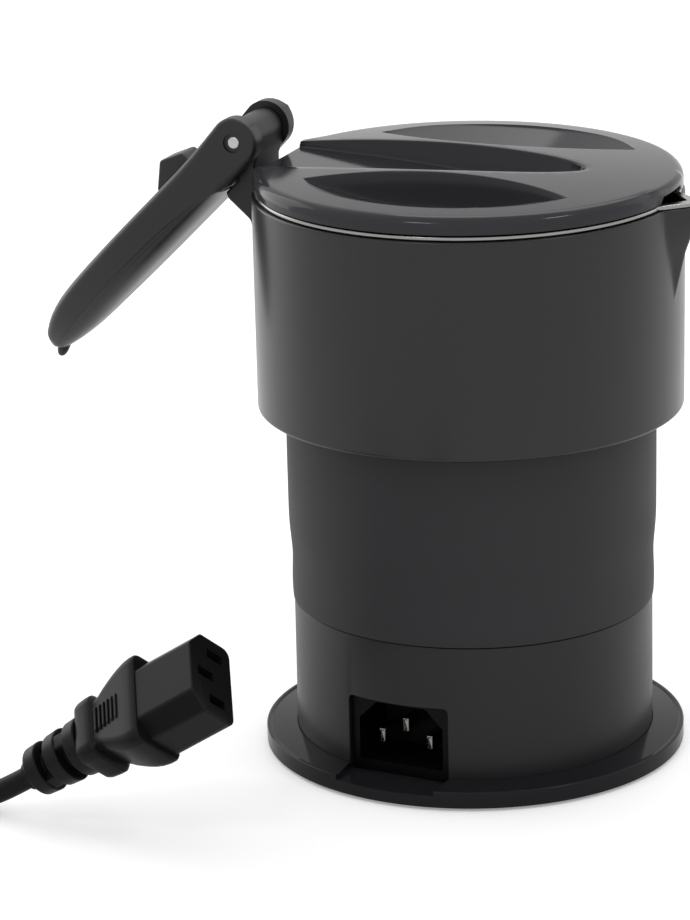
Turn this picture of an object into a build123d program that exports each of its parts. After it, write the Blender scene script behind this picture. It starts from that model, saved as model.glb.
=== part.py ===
from build123d import *
from math import asin, ceil, cos, degrees, pi, radians, sin, sqrt, tan
import os

# A collapsible travel kettle with its mains lead, in millimetres.
# The origin is the middle of the base on the table, +X the spout, -X the handle, +Z up.

# Fits and cuts
clearance = 0.3
close_fit = 0.05
overrun = 2.0

# Base plate and feet
shell_r = 57.2
plate_in = 0.2
plate_edge = 0.4
plate_t = 4.6
plate_seat_t = 3.2
plate_rise = 0.6
foot_stand = 0.8
lip_w = 1.2
lip_h = 0.3
plate_notch_half_angle = 14.5
plate_notch_h = 1.2
foot_r = 5.0
foot_seat_h = 1.2
foot_ring_in = 13.0
foot_count = 4

# Base housing
base_in = 8.7
housing_wall = 2.4
seam_z = 42.6
shelf_w = 8.5
shelf_t = 2.4
shelf_drop = 2.0
boss_r = 3.5
boss_ring_in = 7.5
boss_start_angle = 45.0

# Screws that hold the plate
screw_r = 1.4
screw_head_r = 2.8
screw_head_h = 1.6
screw_bite = 9.0

# Appliance inlet, turned a little from the middle towards the handle
inlet_angle = 5.6
inlet_open_w = 29.2
inlet_open_h = 20.0
inlet_mid_z = 15.4
inlet_open_round = 1.5
inlet_face_in = 3.7
inlet_body_depth = 17.5
inlet_cavity_w = 24.5
inlet_cavity_h = 16.5
inlet_cavity_chamfer = 5.0
inlet_cavity_depth = 15.5
inlet_flange_w = 33.0
inlet_flange_h = 22.0
inlet_flange_t = 2.0
inlet_flange_step = 2.1
pin_pitch = 14.0
pin_rise = 4.0
pin_w = 2.0
pin_h = 4.0
pin_reach = 13.0
pin_tail = 6.0

# Heating plate and what is under it
pan_t = 1.2
pan_rim_z = 50.0
spreader_in = 12.5
spreader_t = 3.5
element_ring_in = 21.5
element_tube_r = 3.25
element_gap_angle = 60.0
element_post_r = 1.2
element_post_z = 26.0
thermostat_r = 12.0
thermostat_h = 6.0
thermostat_cap_r = 9.0
thermostat_cap_h = 3.0
fuse_r = 2.0
fuse_len = 12.0
fuse_ring_in = 30.5
wire_r = 1.2
wire_bend = 3.0

# Power switch on the side away from the inlet
button_r = 5.3
button_gap = 0.25
button_proud = 0.9
button_depth = 8.4
switch_z = 20.0
switch_w = 15.0
switch_h = 13.0
switch_back_in = 17.5
switch_flange_w = 20.0
switch_flange_h = 18.0
switch_flange_t = 1.5
switch_cavity_r = 5.9
switch_cavity_depth = 9.0
lens_r = 1.7
lens_rise = 13.5
lens_proud = 0.2
lens_flange_r = 2.6
lens_flange_t = 1.3

# Silicone wall and its two hoops
sleeve_t = 2.25
sleeve_foot_out = 0.3
sleeve_ring_out = 0.5
sleeve_waist_out = 0.25
sleeve_out = 1.15
sleeve_ring_z = 47.0
sleeve_waist_z = 55.0
sleeve_body_z = 64.0
sleeve_flare_z = 126.0
sleeve_head_z = 133.0
sleeve_top_z = 141.0
hoop_t = 0.8
upper_hoop_t = 1.0

# Upper shell
shell_foot_in = 0.2
shell_t = 2.2
shell_bottom_z = 95.6
shell_top_z = 153.6
shell_edge_round = 1.0
shell_ledge_z = 142.5
shell_ledge_t = 2.0
shell_full_z = 141.0

# Pouring beak: reach from the axis and slope of its sides at three heights
beak_low_z = 129.0
beak_mid_z = 141.0
beak_low_out = 0.1
beak_mid_out = 2.8
beak_out = 7.3
beak_low_slope = 0.9
beak_mid_slope = 1.5
beak_slope = 0.96
beak_root_in = 7.2
beak_wall = 2.8

# Steel liner with its rim
liner_t = 0.8
liner_bottom_z = 128.0
rim_gap = 0.15
rim_h = 1.2
rim_in = 0.8

# Lid
lid_in = 0.4
lid_gap_z = 0.45
lid_edge_h = 4.2
lid_crown = 2.7
lid_edge_round = 1.2
lid_skin = 2.2
lid_skirt_t = 1.8
lid_notch_in = 2.8
lid_notch_half = 15.2
lid_spout_half = 9.0
lid_spout_h = 2.4
plug_gap = 1.8
plug_wall = 1.6
plug_bottom_z = 144.0
plug_floor_t = 1.6
spigot_h = 2.0
lid_seal_z = 149.0
lid_seal_h = 2.5

# Finger scoops, as lenses between two arcs
scoop_mid_x = 1.0
scoop_end_in = 20.3
scoop_tip_in = 28.8
scoop_out_in = 8.8
scoop_in_gap = 2.8
scoop_floor_z = 149.0
scoop_end_slope = 11.5
scoop_tip_slope = 2.0
scoop_out_slope = 9.0
scoop_in_slope = 7.2
scoop_wall = 1.6

# Hinge and bracket
pin_out = 4.2
pin_z = 165.0
hinge_pin_r = 1.9
pin_head_recess_r = 2.6
pin_head_recess = 0.6
barrel_r = 5.5
barrel_half = 8.9
arm_eye_r = 6.4
bracket_face_out = 0.2
bracket_foot_z = 134.5
bracket_back_t = 3.0
bracket_rib_t = 3.5
bracket_screw_z = 149.5
bracket_screw_half = 7.1
bracket_screw_len = 8.0
bracket_head_r = 2.4
bracket_head_h = 0.9

# Handle, in its own frame: s out from the pin, t across, y sideways
handle_rest_angle = 45.0
handle_stow_angle = 3.4
handle_half = 14.0
handle_len = 88.8
handle_top = 5.7
handle_under = 7.0
handle_wall = 1.8
handle_fork_s = 9.6
handle_fork_gap = 0.4
handle_cover_t = 1.8
handle_cover_s = 12.0
handle_nub_len = 1.7
handle_nub_half = 1.6
handle_nub_t = 2.6
handle_plan_shares = ((0.52, 1.0), (0.69, 0.86), (0.82, 0.68), (0.91, 0.46), (0.97, 0.26), (1.0, 0.08))
handle_top_shares = ((0.78, 1.0), (0.89, 0.79), (0.97, 0.58), (1.0, 0.2))
handle_under_shares = ((0.87, 0.86), (0.97, 0.62))

# Latch button in the handle
latch_half = 4.8
latch_low_s = 17.6
latch_peak_s = 25.7
latch_high_s = 33.0
latch_travel = 6.6
latch_low_t = 8.8
latch_high_t = 7.2
latch_flange = 1.6
latch_flange_t = 1.2
latch_stow = 0.1

# Mains lead: connector held up a little by its stiff lead, cord, coil and plug
cord_r = 3.0
connector_x = -36.0
connector_y = -95.2
connector_z = 45.7
connector_turn = -0.35
connector_tilt = 32.55
connector_roll = 132.66
nose_len = 19.0
nose_w = 16.0
nose_h = 24.0
nose_chamfer = 4.6
slot_w = 2.4
slot_h = 4.6
slot_depth = 14.0
contact_t = 0.7
body_len = 15.3
body_w = 17.0
body_h = 26.8
body_middle_h = 22.0
body_tail_w = 13.4
body_tail_h = 15.4
shoulder_len = 6.0
shoulder_w = 15.0
shoulder_h = 18.6
grip_count = 6
grip_pitch = 1.55
grip_t = 0.6
grip_h = 8.0
grip_start = 6.3
boot_len = 21.7
boot_big_r = 7.9
boot_small_r = 6.6
boot_rib_count = 3
plug_boot_rib_count = 4
boot_core_r = 3.9
coil_x = -102.0
coil_y = -203.0
coil_r = 36.0
coil_low_turns = 1.75
coil_high_turns = 2.0
coil_pitch = 6.9
coil_layer_h = 6.6
tie_t = 0.8
tie_gap = 0.45
tie_w = 9.0
tie_angle = -20.0
plug_body_r = 17.0
plug_body_len = 27.0
plug_face_r = 18.0
plug_face_len = 8.0
plug_boot_len = 22.0
plug_boot_big_r = 7.0
plug_boot_small_r = 4.4
plug_pin_r = 2.4
plug_pin_len = 19.0
plug_pin_pitch = 19.0
plug_x = -20.0
plug_y = -228.0
plug_turn = 0.0

# Heights and radii that follow
plate_r = shell_r - plate_in
foot_ring_r = plate_r - foot_ring_in
base_r = shell_r - base_in
shelf_in_r = base_r - shelf_w
boss_ring_r = base_r - boss_ring_in
inlet_face_r = base_r - inlet_face_in
spreader_r = base_r - spreader_in
element_ring_r = base_r - element_ring_in
fuse_ring_r = base_r - fuse_ring_in
switch_back_r = base_r - switch_back_in
sleeve_foot_r = base_r + sleeve_foot_out
sleeve_ring_r = base_r + sleeve_ring_out
sleeve_waist_r = base_r + sleeve_waist_out
sleeve_r = base_r + sleeve_out
shell_foot_r = shell_r - shell_foot_in
beak_root_r = shell_r - beak_root_in
beak_low_reach = shell_r + beak_low_out
beak_mid_reach = shell_r + beak_mid_out
beak_reach = shell_r + beak_out
rim_r = shell_r - rim_in
lid_r = shell_r - lid_in
lid_notch_x = lid_r - lid_notch_in
pin_x = shell_r + pin_out
bracket_face_x = shell_r + bracket_face_out
plate_top_z = foot_stand + plate_t
plate_floor_z = foot_stand + plate_seat_t
housing_in_r = base_r - housing_wall
housing_top_z = seam_z - clearance
shelf_top_z = housing_top_z - shelf_drop
pan_r = housing_in_r - clearance
pan_floor_z = shelf_top_z + pan_t
spreader_z = shelf_top_z - spreader_t
sleeve_in_r = sleeve_r - sleeve_t
shell_in_r = shell_r - shell_t
liner_out_r = shell_in_r - 6 * clearance
liner_in_r = liner_out_r - liner_t
sleeve_head_r = liner_in_r - clearance
sleeve_head_in_r = sleeve_head_r - sleeve_t
rim_low_z = shell_top_z + rim_gap
rim_top_z = rim_low_z + rim_h
lid_low_z = rim_top_z + lid_gap_z
lid_edge_z = lid_low_z + lid_edge_h
lid_top_z = lid_edge_z + lid_crown
plug_r = liner_in_r - plug_gap
scoop_half_len = lid_r - scoop_end_in
scoop_tip_y = lid_r - scoop_tip_in
scoop_out_y = lid_r - scoop_out_in
scoop_in_y = handle_half + scoop_in_gap
scoop_floor_half_len = scoop_half_len - scoop_end_slope
scoop_floor_tip_y = scoop_tip_y + scoop_tip_slope
scoop_floor_out_y = scoop_out_y - scoop_out_slope
scoop_floor_in_y = scoop_in_y + scoop_in_slope
latch_peak_t = handle_top + latch_travel + latch_stow
coil_z = cord_r + tie_t + 2 * tie_gap


def polar(radius, angle):
    """A point at this radius and this angle in degrees."""
    return (radius * cos(radians(angle)), radius * sin(radians(angle)))


def ring(r_in, r_out, z_low, z_high, mode=Mode.ADD):
    """A ring about the kettle's axis, or a disc where r_in is zero."""
    with BuildSketch(Plane.XY.offset(z_low)) as section:
        Circle(r_out)
        if r_in > 0:
            Circle(r_in, mode=Mode.SUBTRACT)
    extrude(section.sketch, amount=z_high - z_low, mode=mode)


def turned(points, mode=Mode.ADD):
    """A closed outline of (radius, height) points turned about the kettle's axis."""
    with BuildSketch(Plane.XZ) as section:
        with BuildLine():
            Polyline(*points, close=True)
        make_face()
    revolve(section.sketch, axis=Axis.Z, mode=mode)


def rod(plane, radius, length, mode=Mode.ADD):
    """A round rod that starts on the plane and follows its normal."""
    with BuildSketch(plane) as section:
        Circle(radius)
    extrude(section.sketch, amount=length, mode=mode)


def block(plane, width, height, length, mode=Mode.ADD):
    """A box that starts on the plane, centred on it, and follows its normal."""
    with BuildSketch(plane) as section:
        Rectangle(width, height)
    extrude(section.sketch, amount=length, mode=mode)


def outline(plane, points, length, mode=Mode.ADD):
    """A prism on a closed outline of points in the plane."""
    with BuildSketch(plane) as section:
        with BuildLine():
            Polyline(*points, close=True)
        make_face()
    extrude(section.sketch, amount=length, mode=mode)


# Frames of reference
inlet_out = Vector(*polar(1, -90 - inlet_angle), 0)
inlet_side = Vector(*polar(1, -inlet_angle), 0)


def inlet_plane(distance):
    """Faces out of the inlet, at this distance from the kettle's axis."""
    return Plane(origin=inlet_out * distance + Vector(0, 0, inlet_mid_z), x_dir=inlet_side, z_dir=inlet_out)


rest = radians(handle_rest_angle)
handle_s = Vector(-cos(rest), 0, -sin(rest))
handle_t = Vector(-sin(rest), 0, cos(rest))
pin_point = Vector(-pin_x, 0, pin_z)


def handle_plane(height=0.0):
    """Plan of the handle at this height across it: x runs out from the pin, y sideways."""
    return Plane(origin=pin_point + handle_t * height, x_dir=handle_s, z_dir=handle_t)


def side_plane(half):
    """Side view of the handle, this far towards -Y: x runs out from the pin, y across the handle."""
    return Plane(origin=pin_point - Vector(0, half, 0), x_dir=handle_s, z_dir=(0, 1, 0))


# Base plate: a foot with a fine lip round its edge, rising a little to the drum and lowered before the inlet
plate_cut_angle = -90 - inlet_angle
with BuildPart() as base_plate:
    turned(
        [
            (0, foot_stand),
            (plate_r - plate_edge, foot_stand),
            (plate_r, foot_stand + plate_edge),
            (plate_r, plate_top_z - lip_h),
            (plate_r - lip_h, plate_top_z),
            (plate_r - lip_w, plate_top_z),
            (plate_r - lip_w, plate_top_z - lip_h),
            (base_r + close_fit, plate_top_z + plate_rise),
            (base_r + close_fit, plate_floor_z),
            (0, plate_floor_z),
        ]
    )
    inlet_half_angle = degrees(asin(inlet_open_w / 2 / base_r))
    outline(
        Plane.XY.offset(plate_top_z - plate_notch_h),
        [
            polar(base_r - clearance, plate_cut_angle - inlet_half_angle),
            polar(plate_r + overrun, plate_cut_angle - plate_notch_half_angle),
            polar((plate_r + overrun) / cos(radians(plate_notch_half_angle)), plate_cut_angle),
            polar(plate_r + overrun, plate_cut_angle + plate_notch_half_angle),
            polar(base_r - clearance, plate_cut_angle + inlet_half_angle),
            polar(base_r - clearance, plate_cut_angle),
        ],
        plate_notch_h + overrun,
        Mode.SUBTRACT,
    )
    with BuildSketch(Plane.XY.offset(foot_stand)) as foot_seats:
        with PolarLocations(foot_ring_r, foot_count):
            Circle(foot_r + clearance / 2)
    extrude(foot_seats.sketch, amount=foot_seat_h, mode=Mode.SUBTRACT)
    with BuildSketch(Plane.XY.offset(foot_stand)) as head_seats:
        with PolarLocations(boss_ring_r, foot_count, start_angle=boss_start_angle):
            Circle(screw_head_r + clearance)
    extrude(head_seats.sketch, amount=screw_head_h, mode=Mode.SUBTRACT)
    with BuildSketch(Plane.XY.offset(foot_stand)) as screw_ways:
        with PolarLocations(boss_ring_r, foot_count, start_angle=boss_start_angle):
            Circle(screw_r + clearance)
    extrude(screw_ways.sketch, amount=plate_t + overrun, mode=Mode.SUBTRACT)

with BuildPart() as rubber_feet:
    with BuildSketch() as foot_discs:
        with PolarLocations(foot_ring_r, foot_count):
            Circle(foot_r)
    extrude(foot_discs.sketch, amount=foot_stand + foot_seat_h)

with BuildPart() as plate_screws:
    head_z = foot_stand + screw_head_h
    with BuildSketch(Plane.XY.offset(foot_stand + clearance)) as heads:
        with PolarLocations(boss_ring_r, foot_count, start_angle=boss_start_angle):
            Circle(screw_head_r)
    extrude(heads.sketch, amount=screw_head_h - clearance)
    with BuildSketch(Plane.XY.offset(head_z)) as shanks:
        with PolarLocations(boss_ring_r, foot_count, start_angle=boss_start_angle):
            Circle(screw_r)
    extrude(shanks.sketch, amount=screw_bite)
    with BuildSketch(Plane.XY.offset(foot_stand + clearance)) as drives:
        with PolarLocations(boss_ring_r, foot_count, start_angle=boss_start_angle):
            Rectangle(screw_head_r * 1.4, screw_r / 2)
            Rectangle(screw_r / 2, screw_head_r * 1.4)
    extrude(drives.sketch, amount=screw_head_h / 3, mode=Mode.SUBTRACT)

# Base housing: the lower drum with its shelf, screw bosses and three openings
with BuildPart() as base_housing:
    ring(housing_in_r, base_r, plate_floor_z, housing_top_z)
    ring(shelf_in_r, housing_in_r, shelf_top_z - shelf_t, shelf_top_z)
    with BuildSketch(Plane.XY.offset(plate_floor_z)) as bosses:
        with PolarLocations(boss_ring_r, foot_count, start_angle=boss_start_angle):
            Circle(boss_r)
            Rectangle(base_r - boss_ring_r - housing_wall / 2, boss_r / 2, align=(Align.MIN, Align.CENTER))
    extrude(bosses.sketch, amount=shelf_top_z - shelf_t - plate_floor_z)
    with BuildSketch(Plane.XY.offset(plate_floor_z)) as pilots:
        with PolarLocations(boss_ring_r, foot_count, start_angle=boss_start_angle):
            Circle(screw_r + close_fit)
    extrude(pilots.sketch, amount=screw_bite + overrun, mode=Mode.SUBTRACT)
    with BuildSketch(inlet_plane(inlet_face_r - inlet_flange_step)) as inlet_window:
        Rectangle(inlet_open_w, inlet_open_h)
        fillet(inlet_window.vertices().group_by(Axis.Z)[-1], inlet_open_round)
    extrude(inlet_window.sketch, amount=base_r - inlet_face_r + inlet_flange_step + overrun, mode=Mode.SUBTRACT)
    switch_front = Plane(origin=(0, base_r + overrun, switch_z), x_dir=(-1, 0, 0), z_dir=(0, 1, 0))
    rod(switch_front, button_r + button_gap, -(housing_wall + 2 * overrun), Mode.SUBTRACT)
    lens_front = Plane(origin=(0, base_r + overrun, switch_z + lens_rise), x_dir=(-1, 0, 0), z_dir=(0, 1, 0))
    rod(lens_front, lens_r + close_fit, -(housing_wall + 2 * overrun), Mode.SUBTRACT)

# Appliance inlet: a black insert with a six-sided cavity and three blades
cavity_half_w = inlet_cavity_w / 2
cavity_half_h = inlet_cavity_h / 2
with BuildPart() as inlet_body:
    with BuildSketch(inlet_plane(inlet_face_r)) as inlet_front:
        Rectangle(inlet_open_w - 2 * clearance, inlet_open_h - 2 * clearance)
        fillet(inlet_front.vertices().group_by(Axis.Z)[-1], inlet_open_round)
    extrude(inlet_front.sketch, amount=-inlet_body_depth)
    block(
        inlet_plane(inlet_face_r - inlet_flange_step), inlet_flange_w, inlet_flange_h, -inlet_flange_t
    )
    outline(
        inlet_plane(inlet_face_r),
        [
            (-cavity_half_w, -cavity_half_h),
            (cavity_half_w, -cavity_half_h),
            (cavity_half_w, cavity_half_h - inlet_cavity_chamfer),
            (cavity_half_w - inlet_cavity_chamfer, cavity_half_h),
            (inlet_cavity_chamfer - cavity_half_w, cavity_half_h),
            (-cavity_half_w, cavity_half_h - inlet_cavity_chamfer),
        ],
        -inlet_cavity_depth,
        Mode.SUBTRACT,
    )
    with BuildSketch(inlet_plane(inlet_face_r)) as pin_slots:
        with Locations((-pin_pitch / 2, -pin_rise / 2), (0, pin_rise / 2), (pin_pitch / 2, -pin_rise / 2)):
            Rectangle(pin_w + 2 * close_fit, pin_h + 2 * close_fit)
    extrude(pin_slots.sketch, amount=-inlet_body_depth - overrun, mode=Mode.SUBTRACT)

with BuildPart() as inlet_pins:
    pin_back_r = inlet_face_r - inlet_body_depth - pin_tail
    with BuildSketch(inlet_plane(pin_back_r)) as blades:
        with Locations((-pin_pitch / 2, -pin_rise / 2), (0, pin_rise / 2), (pin_pitch / 2, -pin_rise / 2)):
            Rectangle(pin_w, pin_h)
    extrude(blades.sketch, amount=pin_tail + inlet_body_depth - inlet_cavity_depth + pin_reach)
    chamfer(
        inlet_pins.faces().sort_by(lambda face: face.center().dot(inlet_out))[-3:].edges(), pin_w / 4
    )

# Heating plate: a shallow steel pan, and the aluminium disc and ring element under it
with BuildPart() as heating_plate:
    turned(
        [
            (0, shelf_top_z),
            (pan_r - pan_t, shelf_top_z),
            (pan_r, pan_floor_z),
            (pan_r, pan_rim_z),
            (pan_r - pan_t, pan_rim_z),
            (pan_r - pan_t, pan_floor_z + pan_t),
            (pan_r - 2 * pan_t, pan_floor_z),
            (0, pan_floor_z),
        ]
    )

with BuildPart() as heat_spreader:
    ring(0, spreader_r, spreader_z, shelf_top_z)

element_z = spreader_z - element_tube_r - close_fit
element_start = -90 - inlet_angle + element_gap_angle / 2
with BuildPart() as heating_element:
    with BuildSketch(Plane.XZ.rotated((0, 0, element_start))) as tube_section:
        with Locations((element_ring_r, element_z)):
            Circle(element_tube_r)
    revolve(tube_section.sketch, axis=Axis.Z, revolution_arc=360 - element_gap_angle)
    for post_angle in (element_start + 4, element_start - element_gap_angle - 4):
        post_x, post_y = polar(element_ring_r, post_angle)
        rod(Plane(origin=(post_x, post_y, element_post_z)), element_post_r, element_z - element_post_z)

with BuildPart() as thermostat:
    ring(0, thermostat_r, spreader_z - thermostat_h, spreader_z)
    ring(0, thermostat_cap_r, spreader_z - thermostat_h - thermostat_cap_h, spreader_z - thermostat_h)

with BuildPart() as thermal_fuse:
    fuse_z = spreader_z - fuse_r - close_fit
    rod(Plane(origin=(-fuse_len / 2, fuse_ring_r, fuse_z), z_dir=(1, 0, 0)), fuse_r, fuse_len)


def inlet_point(side, distance, height):
    """A point given sideways from the inlet's middle, out from the axis, and by height."""
    return inlet_side * side + inlet_out * distance + Vector(0, 0, height)


def wire(points):
    """An insulated wire through these points, its corners rounded alike."""
    with BuildLine() as route:
        FilletPolyline(*points, radius=wire_bend)
    path = route.wire()
    with BuildSketch(Plane(origin=path @ 0, z_dir=path % 0)) as section:
        Circle(wire_r)
    sweep(section.sketch, path=path)


low_pin_z = inlet_mid_z - pin_rise / 2
high_pin_z = inlet_mid_z + pin_rise / 2
wire_start_r = pin_back_r - close_fit
wire_turn_r = wire_start_r - 2 * wire_bend
post_bottom_z = element_post_z - close_fit
left_post = polar(element_ring_r, element_start - element_gap_angle - 4)
right_post = polar(element_ring_r, element_start + 4)
with BuildPart() as live_wire:
    wire(
        [
            inlet_point(-pin_pitch / 2, wire_start_r, low_pin_z),
            inlet_point(-pin_pitch / 2, wire_turn_r, low_pin_z),
            Vector(*left_post, low_pin_z + 2 * wire_bend),
            Vector(*left_post, post_bottom_z),
        ]
    )
with BuildPart() as neutral_wire:
    wire(
        [
            inlet_point(pin_pitch / 2, wire_start_r, low_pin_z),
            inlet_point(pin_pitch / 2, wire_turn_r, low_pin_z),
            Vector(*right_post, low_pin_z + 2 * wire_bend),
            Vector(*right_post, post_bottom_z),
        ]
    )
with BuildPart() as earth_wire:
    cap_bottom_z = spreader_z - thermostat_h - thermostat_cap_h - close_fit
    wire(
        [
            inlet_point(0, wire_start_r, high_pin_z),
            inlet_point(0, thermostat_cap_r / 2, high_pin_z),
            inlet_point(0, thermostat_cap_r / 2, cap_bottom_z),
        ]
    )

# Power switch, its button and the lamp above it
switch_flange_r = sqrt(housing_in_r**2 - (switch_flange_w / 2) ** 2) - clearance


def switch_plane(distance):
    """Faces out through the switch opening, at this distance from the kettle's axis."""
    return Plane(origin=(0, distance, switch_z), x_dir=(-1, 0, 0), z_dir=(0, 1, 0))


with BuildPart() as switch_body:
    block(switch_plane(switch_back_r), switch_w, switch_h, switch_flange_r - switch_back_r)
    block(switch_plane(switch_flange_r), switch_flange_w, switch_flange_h, -switch_flange_t)
    rod(switch_plane(switch_flange_r), switch_cavity_r, -switch_cavity_depth, Mode.SUBTRACT)

with BuildPart() as power_button:
    rod(switch_plane(base_r + button_proud), button_r, -button_depth)
    fillet(power_button.faces().sort_by(Axis.Y)[-1].edges(), button_proud / 2)

with BuildPart() as indicator_lens:
    lens_plane = Plane(origin=(0, base_r + lens_proud, switch_z + lens_rise), z_dir=(0, -1, 0))
    rod(lens_plane, lens_r, lens_proud + housing_wall + clearance)
    rod(lens_plane.offset(lens_proud + housing_wall + clearance), lens_flange_r, lens_flange_t)

# Silicone wall: the soft sleeve between the two hard halves, with a hoop at each end
with BuildPart() as silicone_wall:
    turned(
        [
            (sleeve_foot_r, seam_z),
            (sleeve_ring_r, sleeve_ring_z),
            (sleeve_waist_r, sleeve_waist_z),
            (sleeve_r, sleeve_body_z),
            (sleeve_r, sleeve_flare_z),
            (sleeve_head_r, sleeve_head_z),
            (sleeve_head_r, sleeve_top_z),
            (sleeve_head_in_r, sleeve_top_z),
            (sleeve_head_in_r, sleeve_head_z + clearance),
            (sleeve_in_r, sleeve_flare_z + clearance),
            (sleeve_in_r, sleeve_body_z),
            (pan_r + hoop_t + 2 * clearance, sleeve_waist_z),
            (pan_r + hoop_t + 2 * clearance, seam_z),
        ]
    )

with BuildPart() as lower_hoop:
    ring(pan_r + clearance, pan_r + clearance + hoop_t, seam_z + clearance, pan_rim_z - clearance)

with BuildPart() as upper_hoop:
    hoop_out_r = sleeve_head_in_r - clearance
    ring(hoop_out_r - upper_hoop_t, hoop_out_r, sleeve_head_z + 3 * clearance, sleeve_top_z)


# Pouring beak, as three cornered sections that grow towards the rim
def beak(inset, z_start, z_end, mode):
    """The beak's wedge, its ridge drawn in by inset, between two heights."""

    def reach_at(z):
        if z <= beak_mid_z:
            share = (z - beak_low_z) / (beak_mid_z - beak_low_z)
            return beak_low_reach + share * (beak_mid_reach - beak_low_reach)
        share = (z - beak_mid_z) / (shell_top_z - beak_mid_z)
        return beak_mid_reach + share * (beak_reach - beak_mid_reach)

    def slope_at(z):
        if z <= beak_mid_z:
            share = (z - beak_low_z) / (beak_mid_z - beak_low_z)
            return beak_low_slope + share * (beak_mid_slope - beak_low_slope)
        share = (z - beak_mid_z) / (shell_top_z - beak_mid_z)
        return beak_mid_slope + share * (beak_slope - beak_mid_slope)

    for z_low, z_high in ((z_start, beak_mid_z), (beak_mid_z, z_end)):
        faces = []
        for z in (z_low, z_high):
            tip = reach_at(z) - inset
            half = slope_at(z) * (tip - beak_root_r)
            with BuildSketch(Plane.XY.offset(z)) as section:
                with BuildLine():
                    Polyline((tip, 0), (beak_root_r, half), (beak_root_r, -half), close=True)
                make_face()
            faces.append(section.sketch)
        loft(faces, ruled=True, mode=mode)


# Upper shell with the beak on its front
with BuildPart() as upper_shell:
    turned(
        [
            (beak_root_r, shell_bottom_z),
            (shell_foot_r - shell_edge_round, shell_bottom_z),
            (shell_foot_r, shell_bottom_z + shell_edge_round),
            (shell_r, shell_full_z),
            (shell_r, shell_top_z - shell_edge_round),
            (shell_r - shell_edge_round / 2, shell_top_z),
            (beak_root_r, shell_top_z),
        ]
    )
    beak(0, beak_low_z, shell_top_z, Mode.ADD)
    ring(0, shell_in_r, shell_bottom_z - overrun, shell_top_z + overrun, Mode.SUBTRACT)
    ring(liner_out_r + clearance, shell_in_r + close_fit, shell_ledge_z, shell_ledge_z + shell_ledge_t)
    beak(beak_wall, beak_low_z, shell_top_z + overrun, Mode.SUBTRACT)
    for side in (-1, 1):
        screw_way = Plane(
            origin=(-bracket_face_x - overrun, side * bracket_screw_half, bracket_screw_z), z_dir=(1, 0, 0)
        )
        rod(screw_way, screw_r + clearance, shell_t + 3 * overrun, Mode.SUBTRACT)

# Steel liner with its bright rim, which follows the beak
with BuildPart() as steel_rim:
    ring(liner_in_r, liner_out_r, liner_bottom_z, rim_top_z)
    ring(liner_in_r, rim_r, rim_low_z, rim_top_z)
    beak(beak_wall + clearance, liner_bottom_z + close_fit, rim_top_z, Mode.ADD)
    with BuildSketch(Plane.XY.offset(rim_low_z)) as beak_rim:
        with BuildLine():
            tip = beak_reach - clearance
            half = beak_slope * (tip - beak_root_r)
            Polyline((tip, 0), (beak_root_r, half), (beak_root_r, -half), close=True)
        make_face()
    extrude(beak_rim.sketch, amount=rim_h)
    ring(0, liner_in_r, liner_bottom_z - overrun, rim_top_z + overrun, Mode.SUBTRACT)
    beak(beak_wall + clearance + 2 * liner_t, liner_bottom_z + close_fit, rim_top_z + overrun, Mode.SUBTRACT)

# Hinge bracket on the back of the shell: barrel, block and two ribs
stop_t = handle_under + clearance


def bracket_point(s, t):
    """A point of the handle's side frame, as (x, z) in the kettle's frame."""
    place = pin_point + handle_s * s + handle_t * t
    return (place.X, place.Z)


stop_low = bracket_point(arm_eye_r * 2.15, -stop_t)
stop_high = bracket_point(arm_eye_r * 1.25, -stop_t)
with BuildPart() as hinge_bracket:
    outline(
        Plane.XZ.offset(-barrel_half),
        [
            (-bracket_face_x, pin_z),
            (-bracket_face_x, bracket_foot_z),
            (-bracket_face_x - bracket_back_t / 2, bracket_foot_z + barrel_half),
            (stop_low[0] + clearance * 3, stop_low[1] - bracket_back_t / 2),
            stop_low,
            stop_high,
            (-pin_x - barrel_r * 0.7, pin_z - barrel_r * 0.7),
        ],
        2 * barrel_half,
    )
    rod(Plane(origin=(-pin_x, -barrel_half, pin_z), z_dir=(0, 1, 0)), barrel_r, 2 * barrel_half)
    rod(Plane(origin=(-pin_x, -barrel_half - overrun, pin_z), z_dir=(0, 1, 0)), hinge_pin_r + close_fit,
        2 * (barrel_half + overrun), Mode.SUBTRACT)
    ring(0, shell_r + close_fit, bracket_foot_z - overrun, shell_top_z + clearance, Mode.SUBTRACT)
    pocket_top_z = stop_high[1] - bracket_back_t
    pocket_x = bracket_face_x + bracket_back_t
    outline(
        Plane.XZ.offset(bracket_rib_t - barrel_half),
        [
            (-pocket_x, bracket_foot_z - overrun),
            (-pocket_x, pocket_top_z),
            (stop_low[0] - overrun, pocket_top_z),
            (stop_low[0] - overrun, bracket_foot_z - overrun),
        ],
        2 * (barrel_half - bracket_rib_t),
        Mode.SUBTRACT,
    )
    for side in (-1, 1):
        screw_seat = Plane(
            origin=(-bracket_face_x + overrun, side * bracket_screw_half, bracket_screw_z), z_dir=(-1, 0, 0)
        )
        rod(screw_seat, screw_r + close_fit, bracket_screw_len + overrun, Mode.SUBTRACT)

with BuildPart() as bracket_screws:
    head_x = close_fit - sqrt(shell_in_r**2 - (bracket_screw_half + bracket_head_r) ** 2)
    for side in (-1, 1):
        head_plane = Plane(origin=(head_x, side * bracket_screw_half, bracket_screw_z), z_dir=(-1, 0, 0))
        rod(head_plane.offset(-bracket_head_h), bracket_head_r, bracket_head_h)
        rod(head_plane, screw_r, bracket_screw_len + bracket_face_x + head_x - clearance)

with BuildPart() as hinge_pin:
    pin_half = handle_half - pin_head_recess
    rod(Plane(origin=(-pin_x, -pin_half, pin_z), z_dir=(0, 1, 0)), hinge_pin_r, 2 * pin_half)
    chamfer(hinge_pin.edges().filter_by(GeomType.CIRCLE), hinge_pin_r / 6)


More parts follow.
